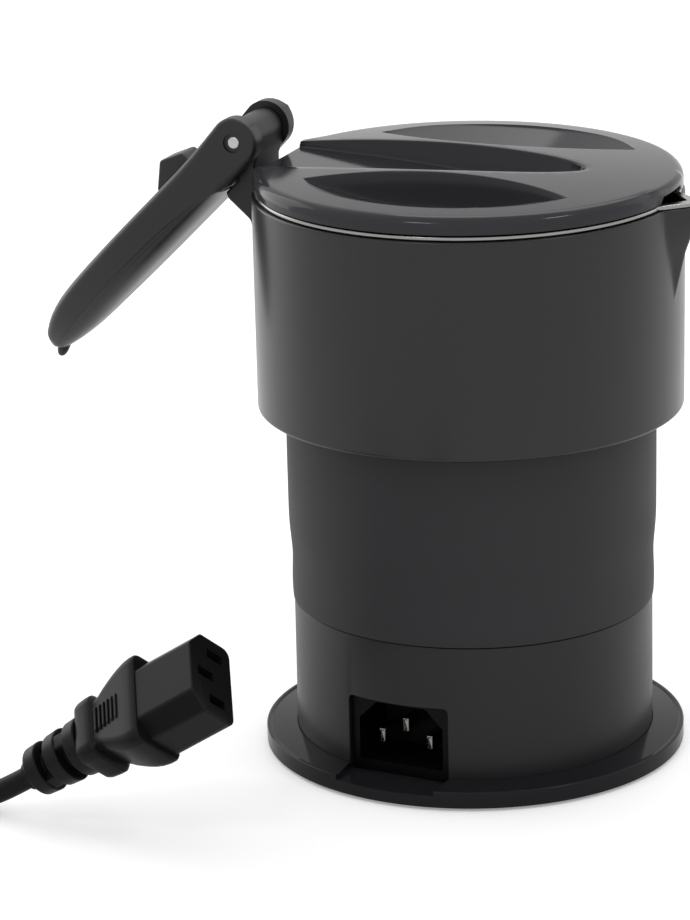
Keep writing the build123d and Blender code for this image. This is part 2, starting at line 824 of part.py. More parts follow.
# Lid: a domed cover with two finger scoops and a ramp for the folded handle
def lens(z, out_y, in_y, tip_y, half_len, grow):
    """The outline of a scoop at one height, made larger all round by grow."""
    with BuildSketch(Plane.XY.offset(z)) as section:
        with BuildLine():
            left = (scoop_mid_x - half_len - grow, tip_y)
            right = (scoop_mid_x + half_len + grow, tip_y)
            ThreePointArc(left, (scoop_mid_x, out_y + grow), right)
            ThreePointArc(right, (scoop_mid_x, in_y - grow), left)
        make_face()
    return section.sketch


def scoop(top_z, grow, mode):
    """Both scoops, from the floor up to top_z, made larger all round by grow."""
    share = (top_z - scoop_floor_z) / (lid_top_z - scoop_floor_z)

    def between(low, high):
        return low + share * (high - low)

    low = lens(
        scoop_floor_z - grow, scoop_floor_out_y, scoop_floor_in_y, scoop_floor_tip_y, scoop_floor_half_len, grow
    )
    high = lens(
        top_z,
        between(scoop_floor_out_y, scoop_out_y),
        between(scoop_floor_in_y, scoop_in_y),
        between(scoop_floor_tip_y, scoop_tip_y),
        between(scoop_floor_half_len, scoop_half_len),
        grow,
    )
    one = loft([low, high], ruled=True, mode=Mode.PRIVATE)
    add(one, mode=mode)
    add(one.mirror(Plane.XZ), mode=mode)


groove_shares = ((-1.0, 1.09), (-0.6, 1.22), (-0.4, 1.2), (-0.15, 1.14), (0.1, 0.98), (0.32, 0.75), (0.47, 0.5),
                 (0.57, 0.2))
stow = radians(handle_stow_angle)


def groove(grow, drop, top_z, mode):
    """The folded handle's groove: its plan, cut by the sloping floor, deeper by drop."""
    with BuildSketch(Plane.XY.offset(plug_bottom_z)) as plan:
        with BuildLine():
            side = [(x_share * lid_r, y_share * handle_half + grow) for x_share, y_share in groove_shares]
            side[0] = (-lid_r - overrun, side[0][1])
            Polyline(*side, *[(x, -y) for x, y in reversed(side)], close=True)
        make_face()
    whole = extrude(plan.sketch, amount=top_z - plug_bottom_z, mode=Mode.PRIVATE)
    floor_z = pin_z - handle_top - 2 * clearance - drop
    far = 2 * lid_r
    with BuildSketch(Plane.XZ.offset(-lid_r)) as under:
        with BuildLine():
            Polyline(
                (-pin_x, floor_z),
                (-pin_x + far, floor_z - far * tan(stow)),
                (-pin_x + far, plug_bottom_z - far),
                (-pin_x, plug_bottom_z - far),
                close=True,
            )
        make_face()
    below = extrude(under.sketch, amount=far, mode=Mode.PRIVATE)
    add(whole - below, mode=mode)


with BuildPart() as lid_cover:
    with BuildSketch(Plane.XZ) as dome_section:
        with BuildLine():
            Polyline(
                (0, lid_edge_z - lid_skin + lid_crown / 2),
                (lid_r - lid_skirt_t, lid_edge_z - lid_skin),
                (lid_r - lid_skirt_t, lid_low_z),
                (lid_r, lid_low_z),
                (lid_r, lid_edge_z - lid_edge_round),
            )
            Line((lid_r, lid_edge_z - lid_edge_round), (lid_r - lid_edge_round, lid_edge_z))
            ThreePointArc(
                (lid_r - lid_edge_round, lid_edge_z),
                (lid_r / 2, lid_edge_z + lid_crown * 0.75),
                (0, lid_top_z),
            )
            Line((0, lid_top_z), (0, lid_edge_z - lid_skin + lid_crown / 2))
        make_face()
    revolve(dome_section.sketch, axis=Axis.Z)
    spigot_r = plug_r - plug_wall - clearance
    ring(spigot_r - plug_wall, spigot_r, lid_low_z - spigot_h, lid_edge_z - lid_skin / 2)
    scoop(lid_edge_z, scoop_wall, Mode.ADD)
    groove(scoop_wall, scoop_wall, lid_edge_z, Mode.ADD)
    ring(lid_r, 2 * lid_r, plug_bottom_z, lid_top_z, Mode.SUBTRACT)
    scoop(lid_top_z + overrun, 0, Mode.SUBTRACT)
    groove(0, 0, lid_top_z + overrun, Mode.SUBTRACT)
    notch_plane = Plane.XY.offset(plug_bottom_z)
    outline(
        notch_plane,
        [
            (-lid_notch_x, -lid_notch_half),
            (-lid_notch_x, lid_notch_half),
            (-lid_r - overrun, lid_notch_half),
            (-lid_r - overrun, -lid_notch_half),
        ],
        lid_top_z + overrun - plug_bottom_z,
        Mode.SUBTRACT,
    )
    outline(
        Plane.XY.offset(lid_low_z - overrun),
        [
            (plug_r + overrun, 0),
            (lid_r + overrun, lid_spout_half),
            (lid_r + overrun, -lid_spout_half),
        ],
        overrun + lid_spout_h,
        Mode.SUBTRACT,
    )

with BuildPart() as lid_base:
    ring(plug_r - plug_wall, plug_r, plug_bottom_z, lid_low_z)
    ring(0, plug_r - plug_wall, plug_bottom_z, plug_bottom_z + plug_floor_t)
    ring(plug_r - plug_wall, plug_r + plug_wall, lid_low_z - plug_wall / 2, lid_low_z)

with BuildPart() as lid_seal:
    ring(plug_r + close_fit, liner_in_r - clearance, lid_seal_z, lid_seal_z + lid_seal_h)


# Handle: a frame, open below, and the glossy cover that closes it
def handle_plan(inset):
    """Corners of the handle's plan, out from the pin and sideways, drawn in by inset."""
    side = [(-arm_eye_r, handle_half - inset)]
    side += [
        (s_share * handle_len - inset, max(y_share * handle_half - inset, inset / 4))
        for s_share, y_share in handle_plan_shares
    ]
    return side + [(s, -y) for s, y in reversed(side)]


def handle_profile(inset):
    """Corners of the handle's side view, out from the pin and across, drawn in by inset."""
    over = [(s_share * handle_len - inset, t_share * handle_top - inset) for s_share, t_share in handle_top_shares]
    under = [
        (s_share * handle_len - inset, inset - t_share * handle_under) for s_share, t_share in handle_under_shares
    ]
    return [(0, handle_top - inset), *over, *reversed(under), (0, inset - handle_under)]


def handle_solid(inset, eye_r):
    """The handle's whole shape, its plan cut to its side view and drawn in by inset."""
    with BuildPart() as solid:
        outline(handle_plane(-2 * handle_under), handle_plan(inset), 4 * handle_under)
        with BuildSketch(side_plane(handle_half + overrun)) as side_view:
            with BuildLine():
                Polyline(*handle_profile(inset), close=True)
            make_face()
            Circle(eye_r)
        extrude(side_view.sketch, amount=2 * (handle_half + overrun), mode=Mode.INTERSECT)
    return solid.part


def cover_plan(inset):
    """The plan of the opening under the handle, drawn in by inset, from the web outwards."""
    with BuildSketch(handle_plane(-2 * handle_under)) as plan:
        with BuildLine():
            Polyline(*handle_plan(handle_wall + inset), close=True)
        make_face()
        with Locations((-2 * handle_len + handle_cover_s + inset, 0)):
            Rectangle(4 * handle_len, 4 * handle_half, mode=Mode.SUBTRACT)
    return plan.sketch


handle_whole = handle_solid(0, arm_eye_r)
handle_hollow = handle_solid(handle_wall, handle_wall)
handle_fork_half = barrel_half + handle_fork_gap
nub_z = -handle_under_shares[-1][1] * handle_under
nub_points = [
    (handle_len - 2 * handle_nub_t, nub_z),
    (handle_len + handle_nub_len / 2, nub_z - handle_nub_t / 3),
    (handle_len + handle_nub_len, nub_z),
    (handle_len + handle_nub_len / 2, nub_z + handle_nub_t / 2),
    (handle_len - handle_nub_t / 2, nub_z + handle_nub_t),
    (handle_len - 2 * handle_nub_t, nub_z + handle_nub_t),
]
with BuildPart() as handle_frame:
    add(handle_whole)
    outline(
        side_plane(handle_fork_half),
        [
            (-2 * arm_eye_r, -2 * arm_eye_r),
            (handle_fork_s, -2 * arm_eye_r),
            (handle_fork_s, 2 * arm_eye_r),
            (-2 * arm_eye_r, 2 * arm_eye_r),
        ],
        2 * handle_fork_half,
        Mode.SUBTRACT,
    )
    hollow_far = extrude(cover_plan(0), amount=4 * handle_under, mode=Mode.PRIVATE)
    add(handle_hollow & hollow_far, mode=Mode.SUBTRACT)
    extrude(cover_plan(0), amount=2 * handle_under, mode=Mode.SUBTRACT)
    outline(side_plane(handle_nub_half), nub_points, 2 * handle_nub_half)
    with BuildSketch(handle_plane(0)) as latch_way:
        with Locations(((latch_low_s + latch_high_s) / 2, 0)):
            Rectangle(latch_high_s - latch_low_s + 2 * clearance, 2 * (latch_half + clearance))
    extrude(latch_way.sketch, amount=2 * handle_top, mode=Mode.SUBTRACT)
    rod(side_plane(handle_half + overrun), hinge_pin_r + close_fit, 2 * (handle_half + overrun), Mode.SUBTRACT)
    rod(side_plane(handle_half + overrun), pin_head_recess_r, overrun + pin_head_recess, Mode.SUBTRACT)
    rod(side_plane(-handle_half - overrun), pin_head_recess_r, -overrun - pin_head_recess, Mode.SUBTRACT)

with BuildPart() as handle_cover:
    extrude(cover_plan(clearance), amount=2 * handle_under)
    with BuildSketch(side_plane(handle_half)) as cover_side:
        with BuildLine():
            under = [(s_share * handle_len, -t_share * handle_under) for s_share, t_share in handle_under_shares]
            upper = [(s, t + handle_cover_t) for s, t in under]
            Polyline(
                (0, -handle_under), *under, *reversed(upper), (0, handle_cover_t - handle_under), close=True
            )
        make_face()
    extrude(cover_side.sketch, amount=2 * handle_half, mode=Mode.INTERSECT)
    nub_way_half = handle_nub_half + clearance
    outline(side_plane(nub_way_half), nub_points, 2 * nub_way_half, Mode.SUBTRACT)

# Latch button: a wedge that stands out of the handle and sinks when the handle is folded away
with BuildPart() as latch_button:
    flange_top = handle_top - handle_wall - clearance
    flange_low = flange_top - latch_flange_t
    outline(
        side_plane(latch_half),
        [
            (latch_low_s, flange_low),
            (latch_high_s, flange_low),
            (latch_high_s, latch_high_t),
            (latch_peak_s, latch_peak_t),
            (latch_low_s, latch_low_t),
        ],
        2 * latch_half,
    )
    with BuildSketch(handle_plane(flange_low)) as latch_foot:
        with Locations(((latch_low_s + latch_high_s) / 2, 0)):
            Rectangle(latch_high_s - latch_low_s + 2 * latch_flange, 2 * (latch_half + latch_flange))
    extrude(latch_foot.sketch, amount=latch_flange_t)


# Mains lead: connector, boot and contacts
def lead_frame(place, turn, tilt, roll, distance):
    """A plane square to a lead piece's axis, this far along it: the axis points at turn and tilt, and the
    plane's x starts level, to the axis' left, and is rolled about it."""
    ahead = Vector(cos(radians(turn)) * cos(radians(tilt)), sin(radians(turn)) * cos(radians(tilt)), sin(radians(tilt)))
    left = Vector(*polar(1, turn + 90), 0)
    across = left * cos(radians(roll)) + ahead.cross(left) * sin(radians(roll))
    return Plane(origin=place + ahead * distance, x_dir=across, z_dir=ahead)


def connector_plane(distance):
    """Square to the connector's axis, measured back from its face."""
    face = Vector(connector_x, connector_y, connector_z)
    return lead_frame(face, connector_turn, connector_tilt, connector_roll, -distance)


def chamfered(width, height, cut):
    """A rectangle with both corners on its earth side cut off."""
    return [
        (width / 2 - cut, height / 2),
        (width / 2, height / 2 - cut),
        (width / 2, cut - height / 2),
        (width / 2 - cut, -height / 2),
        (-width / 2, -height / 2),
        (-width / 2, height / 2),
    ]


contact_places = [(-pin_rise / 2, -pin_pitch / 2), (pin_rise / 2, 0), (-pin_rise / 2, pin_pitch / 2)]
with BuildPart() as connector_body:
    outline(connector_plane(0), chamfered(nose_w, nose_h, nose_chamfer), -nose_len)
    with BuildSketch(connector_plane(nose_len)) as body_front:
        RectangleRounded(body_w, body_h, body_w / 5)
    with BuildSketch(connector_plane(nose_len + body_len / 2)) as body_middle:
        RectangleRounded((body_w + body_tail_w) / 2, body_middle_h, body_w / 6)
    with BuildSketch(connector_plane(nose_len + body_len)) as body_back:
        RectangleRounded(body_tail_w, body_tail_h, body_w / 6)
    loft([body_front.sketch, body_middle.sketch], ruled=True)
    loft([body_middle.sketch, body_back.sketch], ruled=True)
    with BuildSketch(connector_plane(nose_len + body_len)) as shoulder:
        RectangleRounded(shoulder_w, shoulder_h, body_w / 5)
    extrude(shoulder.sketch, amount=-shoulder_len)
    with BuildSketch(connector_plane(0)) as slots:
        with Locations(*contact_places):
            Rectangle(slot_h, slot_w)
    extrude(slots.sketch, amount=-slot_depth, mode=Mode.SUBTRACT)
    for number in range(grip_count):
        rib_start = grip_start + number * grip_pitch
        with BuildSketch(connector_plane(nose_len + rib_start)) as rib:
            Rectangle(body_w + 2 * grip_t - rib_start / body_len * (body_w - body_tail_w), grip_h)
        extrude(rib.sketch, amount=-grip_t)

with BuildPart() as connector_contacts:
    with BuildSketch(connector_plane(slot_depth / 3)) as contacts:
        with Locations(*contact_places):
            Rectangle(slot_h - clearance, slot_w - clearance)
            Rectangle(slot_h - clearance - 2 * contact_t, slot_w - clearance - 2 * contact_t, mode=Mode.SUBTRACT)
    extrude(contacts.sketch, amount=-slot_depth * 2 / 3 + clearance)

connector_back = nose_len + body_len + shoulder_len


def boot(plane_at, start, length, big_r, small_r, rib_total):
    """A tapered strain relief: a core with rings that shrink towards the cord."""
    rod(plane_at(start), boot_core_r, -length)
    pitch = length / rib_total
    for number in range(rib_total):
        near_r = big_r - (big_r - small_r) * number / rib_total
        far_r = big_r - (big_r - small_r) * (number + 0.6) / rib_total
        with BuildSketch(plane_at(start + number * pitch)) as near:
            Circle(near_r)
        with BuildSketch(plane_at(start + (number + 0.6) * pitch)) as far:
            Circle(far_r)
        loft([near.sketch, far.sketch], ruled=True)


with BuildPart() as connector_boot:
    boot(connector_plane, connector_back, boot_len, boot_big_r, boot_small_r, boot_rib_count)

# Mains plug, a plain round two-pin body lying on its side
plug_axis_z = plug_face_r + clearance


def plug_plane(distance):
    """Square to the plug's axis, measured from the cord end of its boot towards the pins."""
    return lead_frame(Vector(plug_x, plug_y, plug_axis_z), plug_turn, 0, 0, distance)


def plug_plane_back(distance):
    """The same, measured back from the plug body's rear face."""
    return plug_plane(plug_boot_len - distance)


with BuildPart() as plug_boot:
    boot(plug_plane_back, 0, plug_boot_len, plug_boot_big_r, plug_boot_small_r, plug_boot_rib_count)

with BuildPart() as plug_body:
    with BuildSketch(plug_plane(plug_boot_len)) as plug_rear:
        Circle(plug_body_r * 0.62)
    with BuildSketch(plug_plane(plug_boot_len + plug_body_len - plug_face_len)) as plug_front:
        Circle(plug_body_r)
    loft([plug_rear.sketch, plug_front.sketch], ruled=True)
    rod(plug_plane(plug_boot_len + plug_body_len - plug_face_len), plug_face_r, plug_face_len)
    fillet(plug_body.edges().filter_by(GeomType.CIRCLE).sort_by(Axis.X)[-1], plug_face_len / 8)

with BuildPart() as plug_pins:
    with BuildSketch(plug_plane(plug_boot_len + plug_body_len)) as pin_pair:
        with Locations((-plug_pin_pitch / 2, 0), (plug_pin_pitch / 2, 0)):
            Circle(plug_pin_r)
    extrude(pin_pair.sketch, amount=plug_pin_len)
    fillet(plug_pins.edges().filter_by(GeomType.CIRCLE).group_by(Axis.X)[-1], plug_pin_r / 2)

# Cord: the two free stretches, in points chosen by hand, from the connector to the coil and on to the plug
lead_end = connector_plane(connector_back + boot_len).origin
lead_points = [
    tuple(lead_end),
    tuple(connector_plane(connector_back + boot_len + 3 * cord_r).origin),
    (-102.8, -94.8, 4.3),
    (-110.4, -94.7, 3.3),
    (-120.3, -96.5, 3.3),
    (-129.8, -102.2, 3.3),
    (-136.4, -111.0, 3.3),
    (-139.3, -121.7, 3.3),
    (-139.0, -136.7, 3.1),
    (-138.5, -153.7, 3.1),
    (-138.1, -170.7, 3.4),
    (-138.0, -182.0, 4.3),
    (coil_x - coil_r, coil_y + 2 * cord_r, coil_z),
]
coil_end_r = coil_r + coil_pitch * (coil_high_turns - coil_low_turns)
tail_end = plug_plane(0).origin
tail_points = [
    (coil_x + 2 * cord_r, coil_y - coil_end_r, coil_z + coil_layer_h),
    (-80.0, -240.5, coil_z + coil_layer_h),
    (-67.5, -238.0, 13.4),
    (-55.0, -232.8, 16.9),
    (-43.0, -228.8, plug_axis_z),
    (-31.0, plug_y, plug_axis_z),
    tuple(tail_end),
]


def corner_radii(name, points):
    """Each corner's radius, as large as its two runs allow."""
    radii = []
    for before, here, after in zip(points, points[1:], points[2:]):
        run_in = Vector(*here) - Vector(*before)
        run_out = Vector(*after) - Vector(*here)
        turn = radians(run_in.get_angle(run_out))
        radii.append(0.45 * min(run_in.length, run_out.length) / tan(turn / 2))
    print(name, "corner radii", [round(radius, 1) for radius in radii])
    return radii


def cord(name, points):
    """A tube of the cord's thickness along straight runs and tangent arcs."""
    radii = corner_radii(name, points)
    with BuildLine() as route:
        FilletPolyline(*points, radius=radii)
    path = route.wire()
    with BuildSketch(Plane(origin=path @ 0, z_dir=path % 0)) as section:
        Circle(cord_r)
    sweep(section.sketch, path=path)
    length = path.length
    print(name, "length", round(length, 1), "section times length", round(pi * cord_r**2 * length, 1))


with BuildPart() as cord_lead:
    cord("lead", lead_points)
print("lead volume", round(cord_lead.part.volume, 1))

with BuildPart() as cord_tail:
    cord("tail", tail_points)
print("tail volume", round(cord_tail.part.volume, 1))

# Coil: spirals in on the lower layer, climbs in a half turn, and spirals out on the upper layer
half_steps = 2
low_steps = round(coil_low_turns * 4)
high_steps = round(coil_high_turns * 4)
coil_in_r = coil_r - coil_pitch * coil_low_turns
drift = coil_pitch / (2 * pi)


def coil_place(quarter):
    """Radius, height and their change per radian, this many quarter turns along the coil."""
    if quarter <= low_steps:
        return coil_r - coil_pitch * quarter / 4, coil_z, -drift, 0.0
    if quarter <= low_steps + half_steps:
        part = (quarter - low_steps) / half_steps
        radius = coil_in_r - drift * pi * (part - part**2)
        height = coil_z + coil_layer_h * (1 - cos(pi * part)) / 2
        return radius, height, -drift * (1 - 2 * part), coil_layer_h * sin(pi * part) / 2
    past = quarter - low_steps - half_steps
    return coil_in_r + coil_pitch * past / 4, coil_z + coil_layer_h, drift, 0.0


def coil_station(quarter):
    """The point and the heading of the coil's middle line, turning anticlockwise from -X."""
    radius, height, radius_rate, height_rate = coil_place(quarter)
    angle = pi + quarter * pi / 2
    point = Vector(coil_x + radius * cos(angle), coil_y + radius * sin(angle), height)
    heading = Vector(
        radius_rate * cos(angle) - radius * sin(angle),
        radius_rate * sin(angle) + radius * cos(angle),
        height_rate,
    )
    return point, heading.normalized()


def biarc(start, start_dir, end, end_dir):
    """Two arcs that leave start and reach end along the given headings."""
    span = end - start
    both = start_dir + end_dir
    bend = 2 * (1 - start_dir.dot(end_dir))
    lead = span.dot(both)
    reach = (-lead + sqrt(lead**2 + bend * span.dot(span))) / bend
    first = start + start_dir * reach
    second = end - end_dir * reach
    joint = (first + second) / 2
    TangentArc(start, joint, tangent=start_dir)
    TangentArc(joint, end, tangent=(second - first).normalized())


coil_steps = low_steps + half_steps + high_steps
stations = [coil_station(quarter) for quarter in range(coil_steps + 1)]
with BuildPart() as cord_coil:
    with BuildLine() as coil_route:
        run_in, run_out = Vector(0, -1, 0), Vector(1, 0, 0)
        first, last = stations[0][0], stations[-1][0]
        Line(first - run_in * 2 * cord_r, first)
        headings = [run_in] + [heading for point, heading in stations[1:-1]] + [run_out]
        for number in range(coil_steps):
            biarc(stations[number][0], headings[number], stations[number + 1][0], headings[number + 1])
        Line(last, last + run_out * 2 * cord_r)
    coil_path = coil_route.wire()
    with BuildSketch(Plane(origin=coil_path @ 0, z_dir=coil_path % 0)) as coil_section:
        Circle(cord_r)
    sweep(coil_section.sketch, path=coil_path)

coil_length = coil_path.length
print("coil length", round(coil_length, 1), "volume", round(cord_coil.part.volume, 1), "section times length",
      round(pi * cord_r**2 * coil_length, 1))


def least_gap():
    """The least gap between turns of the coil, measured on points along its middle line."""
    samples = 12 * coil_steps
    spots = [coil_path @ (number / samples) for number in range(samples + 1)]
    step = coil_length / samples
    apart = ceil(4 * cord_r / step)
    least = coil_length
    for number, spot in enumerate(spots):
        for other in spots[number + apart:]:
            least = min(least, (spot - other).length)
    return least - 2 * cord_r


print("coil least gap", round(least_gap(), 2))

# Tie: a strap that goes once round the coil's bundle
with BuildPart() as cord_tie:
    bundle_in = coil_in_r - drift * pi / 4 - cord_r - tie_gap
    bundle_out = coil_r + cord_r + tie_gap
    bundle_low = coil_z - cord_r - tie_gap
    bundle_high = coil_z + coil_layer_h + cord_r + tie_gap
    tie_side = Vector(*polar(1, tie_angle), 0)
    tie_across = Vector(*polar(1, tie_angle + 90), 0)
    tie_middle = Vector(coil_x, coil_y, (bundle_low + bundle_high) / 2) + tie_side * (bundle_in + bundle_out) / 2
    tie_plane = Plane(origin=tie_middle, x_dir=tie_side, z_dir=tie_across)
    with BuildSketch(tie_plane) as tie_loop:
        wide = bundle_out - bundle_in
        tall = bundle_high - bundle_low
        RectangleRounded(wide + 2 * tie_t, tall + 2 * tie_t, tall / 4 + tie_t)
        RectangleRounded(wide, tall, tall / 4, mode=Mode.SUBTRACT)
    extrude(tie_loop.sketch, amount=tie_w / 2, both=True)

pieces = {
    "base_plate": base_plate,
    "rubber_feet": rubber_feet,
    "plate_screws": plate_screws,
    "base_housing": base_housing,
    "inlet_body": inlet_body,
    "inlet_pins": inlet_pins,
    "heating_plate": heating_plate,
    "heat_spreader": heat_spreader,
    "heating_element": heating_element,
    "thermostat": thermostat,
    "thermal_fuse": thermal_fuse,
    "live_wire": live_wire,
    "neutral_wire": neutral_wire,
    "earth_wire": earth_wire,
    "switch_body": switch_body,
    "power_button": power_button,
    "indicator_lens": indicator_lens,
    "silicone_wall": silicone_wall,
    "lower_hoop": lower_hoop,
    "upper_hoop": upper_hoop,
    "upper_shell": upper_shell,
    "steel_rim": steel_rim,
    "hinge_bracket": hinge_bracket,
    "bracket_screws": bracket_screws,
    "hinge_pin": hinge_pin,
    "lid_cover": lid_cover,
    "lid_base": lid_base,
    "lid_seal": lid_seal,
    "handle_frame": handle_frame,
    "handle_cover": handle_cover,
    "latch_button": latch_button,
    "connector_body": connector_body,
    "connector_contacts": connector_contacts,
    "connector_boot": connector_boot,
    "cord_lead": cord_lead,
    "cord_coil": cord_coil,
    "cord_tie": cord_tie,
    "cord_tail": cord_tail,
    "plug_boot": plug_boot,
    "plug_body": plug_body,
    "plug_pins": plug_pins,
}
os.makedirs("parts", exist_ok=True)
for piece_name, piece in pieces.items():
    piece.part.label = piece_name
    export_step(piece.part, f"parts/{piece_name}.step")
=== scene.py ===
"""A collapsible travel kettle with its mains lead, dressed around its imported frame."""

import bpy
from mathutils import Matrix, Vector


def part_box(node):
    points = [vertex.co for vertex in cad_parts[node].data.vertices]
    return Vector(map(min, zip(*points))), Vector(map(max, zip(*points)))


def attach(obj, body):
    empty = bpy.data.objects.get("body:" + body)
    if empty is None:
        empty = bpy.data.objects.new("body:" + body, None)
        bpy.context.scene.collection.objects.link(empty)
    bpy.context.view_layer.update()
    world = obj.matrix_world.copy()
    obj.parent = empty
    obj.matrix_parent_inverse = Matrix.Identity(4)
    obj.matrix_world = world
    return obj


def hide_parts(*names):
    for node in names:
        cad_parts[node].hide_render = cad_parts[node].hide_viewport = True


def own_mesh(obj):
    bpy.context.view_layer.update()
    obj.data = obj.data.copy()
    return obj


bl_info = {
    "name": "Travel Kettle",
    "version": (1, 0, 0),
    "blender": (4, 5, 0),
    "location": "View3D > Sidebar > Kettle",
    "description": "Builds the skins, finishes and stage of a collapsible travel kettle",
    "category": "Add Mesh",
}

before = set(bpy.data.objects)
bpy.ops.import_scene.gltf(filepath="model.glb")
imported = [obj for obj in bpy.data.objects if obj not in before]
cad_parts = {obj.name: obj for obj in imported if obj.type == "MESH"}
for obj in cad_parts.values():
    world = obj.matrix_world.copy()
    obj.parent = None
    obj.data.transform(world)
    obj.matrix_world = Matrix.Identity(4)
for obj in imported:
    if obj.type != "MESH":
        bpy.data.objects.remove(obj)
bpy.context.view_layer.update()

import math

import bmesh
import bpy
import numpy as np
from bpy.props import FloatProperty, FloatVectorProperty, IntProperty, PointerProperty
from bpy.types import Operator, Panel, PropertyGroup
from mathutils import Matrix, Vector
from mathutils.geometry import delaunay_2d_cdt

MM = 0.001
TURN = 2 * math.pi
WELD = 0.002
SHARP = 0.01

# Directions and places of the frame, in millimetres
ORIGIN = np.zeros(3)
SIDE = np.array([0, 1.0, 0])
UP = np.array([0, 0, 1.0])
SEAM_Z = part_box("silicone_wall")[0].z / MM
SHELL_LOW_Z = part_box("upper_shell")[0].z / MM
SHELL_TOP_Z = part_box("upper_shell")[1].z / MM
RIM_TOP_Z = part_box("steel_rim")[1].z / MM
LID_LOW_Z = 155.4
LID_R = 56.8
PIN = np.array([-61.4, 0.0, 165.0])


# Shapes
def grid_faces(rows, cols, wrap_rows=False, wrap_cols=False):
    """Quads between neighbours of a rows by cols grid, closed round on itself where wrapped."""
    row = np.arange(rows if wrap_rows else rows - 1)
    col = np.arange(cols if wrap_cols else cols - 1)
    row, col = np.meshgrid(row, col, indexing="ij")
    row_next, col_next = (row + 1) % rows, (col + 1) % cols
    corners = [(row, col), (row_next, col), (row_next, col_next), (row, col_next)]
    return np.stack([down * cols + on for down, on in corners], -1).reshape(-1, 4).tolist()


def grid(points, wrap_rows=False, wrap_cols=False, caps=False):
    """A shell from an array of rows by cols points; caps closes its first and last row with one
    face each."""
    rows, cols = points.shape[:2]
    faces = grid_faces(rows, cols, wrap_rows, wrap_cols)
    if caps:
        faces.append(list(range(cols)))
        faces.append([(rows - 1) * cols + col for col in reversed(range(cols))])
    return points.reshape(-1, 3), faces


def rounded(corners, radii, steps=5, closed=True, support=0.25):
    """A flat outline whose corners are arcs: each arc is the circle that touches both its sides
    and takes less than half of either, and a point stands just before and after it so that
    smooth shading keeps the sides flat."""
    corners = np.asarray(corners, float)
    count = len(corners)
    radii = np.broadcast_to(np.asarray(radii, float), (count,))
    points = []
    for number in range(count):
        here = corners[number]
        if not closed and number in (0, count - 1) or radii[number] <= 0:
            points.append(here[None])
            continue
        back = corners[number - 1] - here
        ahead = corners[(number + 1) % count] - here
        back_len, ahead_len = np.linalg.norm(back), np.linalg.norm(ahead)
        shorter = min(back_len, ahead_len)
        back, ahead = back / back_len, ahead / ahead_len
        half = math.acos(np.clip(back @ ahead, -1, 1)) / 2
        if half > math.pi / 2 - 0.01:
            points.append(here[None])
            continue
        reach = min(radii[number] / math.tan(half), 0.46 * shorter)
        radius = reach * math.tan(half)
        middle = here + (back + ahead) / np.linalg.norm(back + ahead) * radius / math.sin(half)
        start, end = here + back * reach - middle, here + ahead * reach - middle
        sweep = math.pi - 2 * half
        share = np.linspace(0, 1, steps + 1)[:, None]
        arc = (np.sin((1 - share) * sweep) * start + np.sin(share * sweep) * end) / math.sin(sweep)
        lead = min(support, 0.1 * shorter) * np.array([back, ahead])
        points.append(np.vstack([middle + start + lead[0], middle + arc, middle + end + lead[1]]))
    return np.vstack(points)


def box_outline(low_x, high_x, low_y, high_y, radii):
    """A rectangle with rounded corners, from the low corner anticlockwise."""
    corners = [(low_x, low_y), (high_x, low_y), (high_x, high_y), (low_x, high_y)]
    return rounded(corners, radii, support=0)


def full_turn(count):
    """Angles once round, an equal step apart."""
    return np.linspace(0, TURN, count + 1)[:-1]


def circle(radius, count=64):
    """Points round a circle, an equal step apart."""
    angle = full_turn(count)
    return radius * np.stack([np.cos(angle), np.sin(angle)], -1)


def softened(points, times):
    """Corner cutting: each run is kept between its quarter points, a few times over."""
    points = np.asarray(points, float)
    for _ in range(times):
        here, ahead = points[:-1], points[1:]
        cut = np.stack([0.75 * here + 0.25 * ahead, 0.25 * here + 0.75 * ahead], 1)
        points = np.vstack([points[:1], cut.reshape(-1, 2), points[-1:]])
    return points


def spaced(points, step):
    """The same polyline with points an equal step apart along it."""
    run = np.concatenate([[0], np.cumsum(np.linalg.norm(np.diff(points, axis=0), axis=1))])
    wanted = np.linspace(0, run[-1], int(round(run[-1] / step)) + 1)
    return np.stack([np.interp(wanted, run, values) for values in points.T], -1)


def between(start, end, share):
    """Rows of points between two rows of points, at the given shares of the way."""
    return start[None] * (1 - share)[:, None, None] + end[None] * share[:, None, None]


def normals_2d(points, closed=True):
    """Unit normals of a flat outline, to the right of its direction, from its neighbours' chord."""
    if closed:
        along = np.roll(points, -1, 0) - np.roll(points, 1, 0)
    else:
        along = np.gradient(points, axis=0)
    along /= np.maximum(np.linalg.norm(along, axis=1), 1e-9)[:, None]
    return np.stack([along[:, 1], -along[:, 0]], -1)


def outward(ring):
    """Unit normals of a closed outline, away from its middle."""
    normal = normals_2d(ring)
    return normal * np.sign(np.sum(normal * (ring - ring.mean(0)), axis=1, keepdims=True))


def area_2d(points):
    """Signed area of a flat outline, positive when it runs anticlockwise."""
    ahead = np.roll(points, -1, 0)
    return 0.5 * np.sum(points[:, 0] * ahead[:, 1] - ahead[:, 0] * points[:, 1])


def inside(points, loop):
    """Which points lie inside a closed outline, by counting the edges that a ray towards +x
    crosses."""
    ahead = np.roll(loop, -1, 0)
    x, y = points[:, :1], points[:, 1:]
    crosses = (loop[:, 1] > y) != (ahead[:, 1] > y)
    rise = np.where(ahead[:, 1] == loop[:, 1], 1e-12, ahead[:, 1] - loop[:, 1])
    at = loop[:, 0] + (y - loop[:, 1]) / rise * (ahead[:, 0] - loop[:, 0])
    return (np.sum(crosses & (x < at), axis=1) % 2) == 1


def around_axis(radius, height, angle, closed=True):
    """Rows of radii and heights carried round the axis: x = r cos a, y = r sin a."""
    radius, height, angle = np.broadcast_arrays(radius, height, angle)
    points = np.stack([radius * np.cos(angle), radius * np.sin(angle), height], -1)
    return grid(points, closed, True)


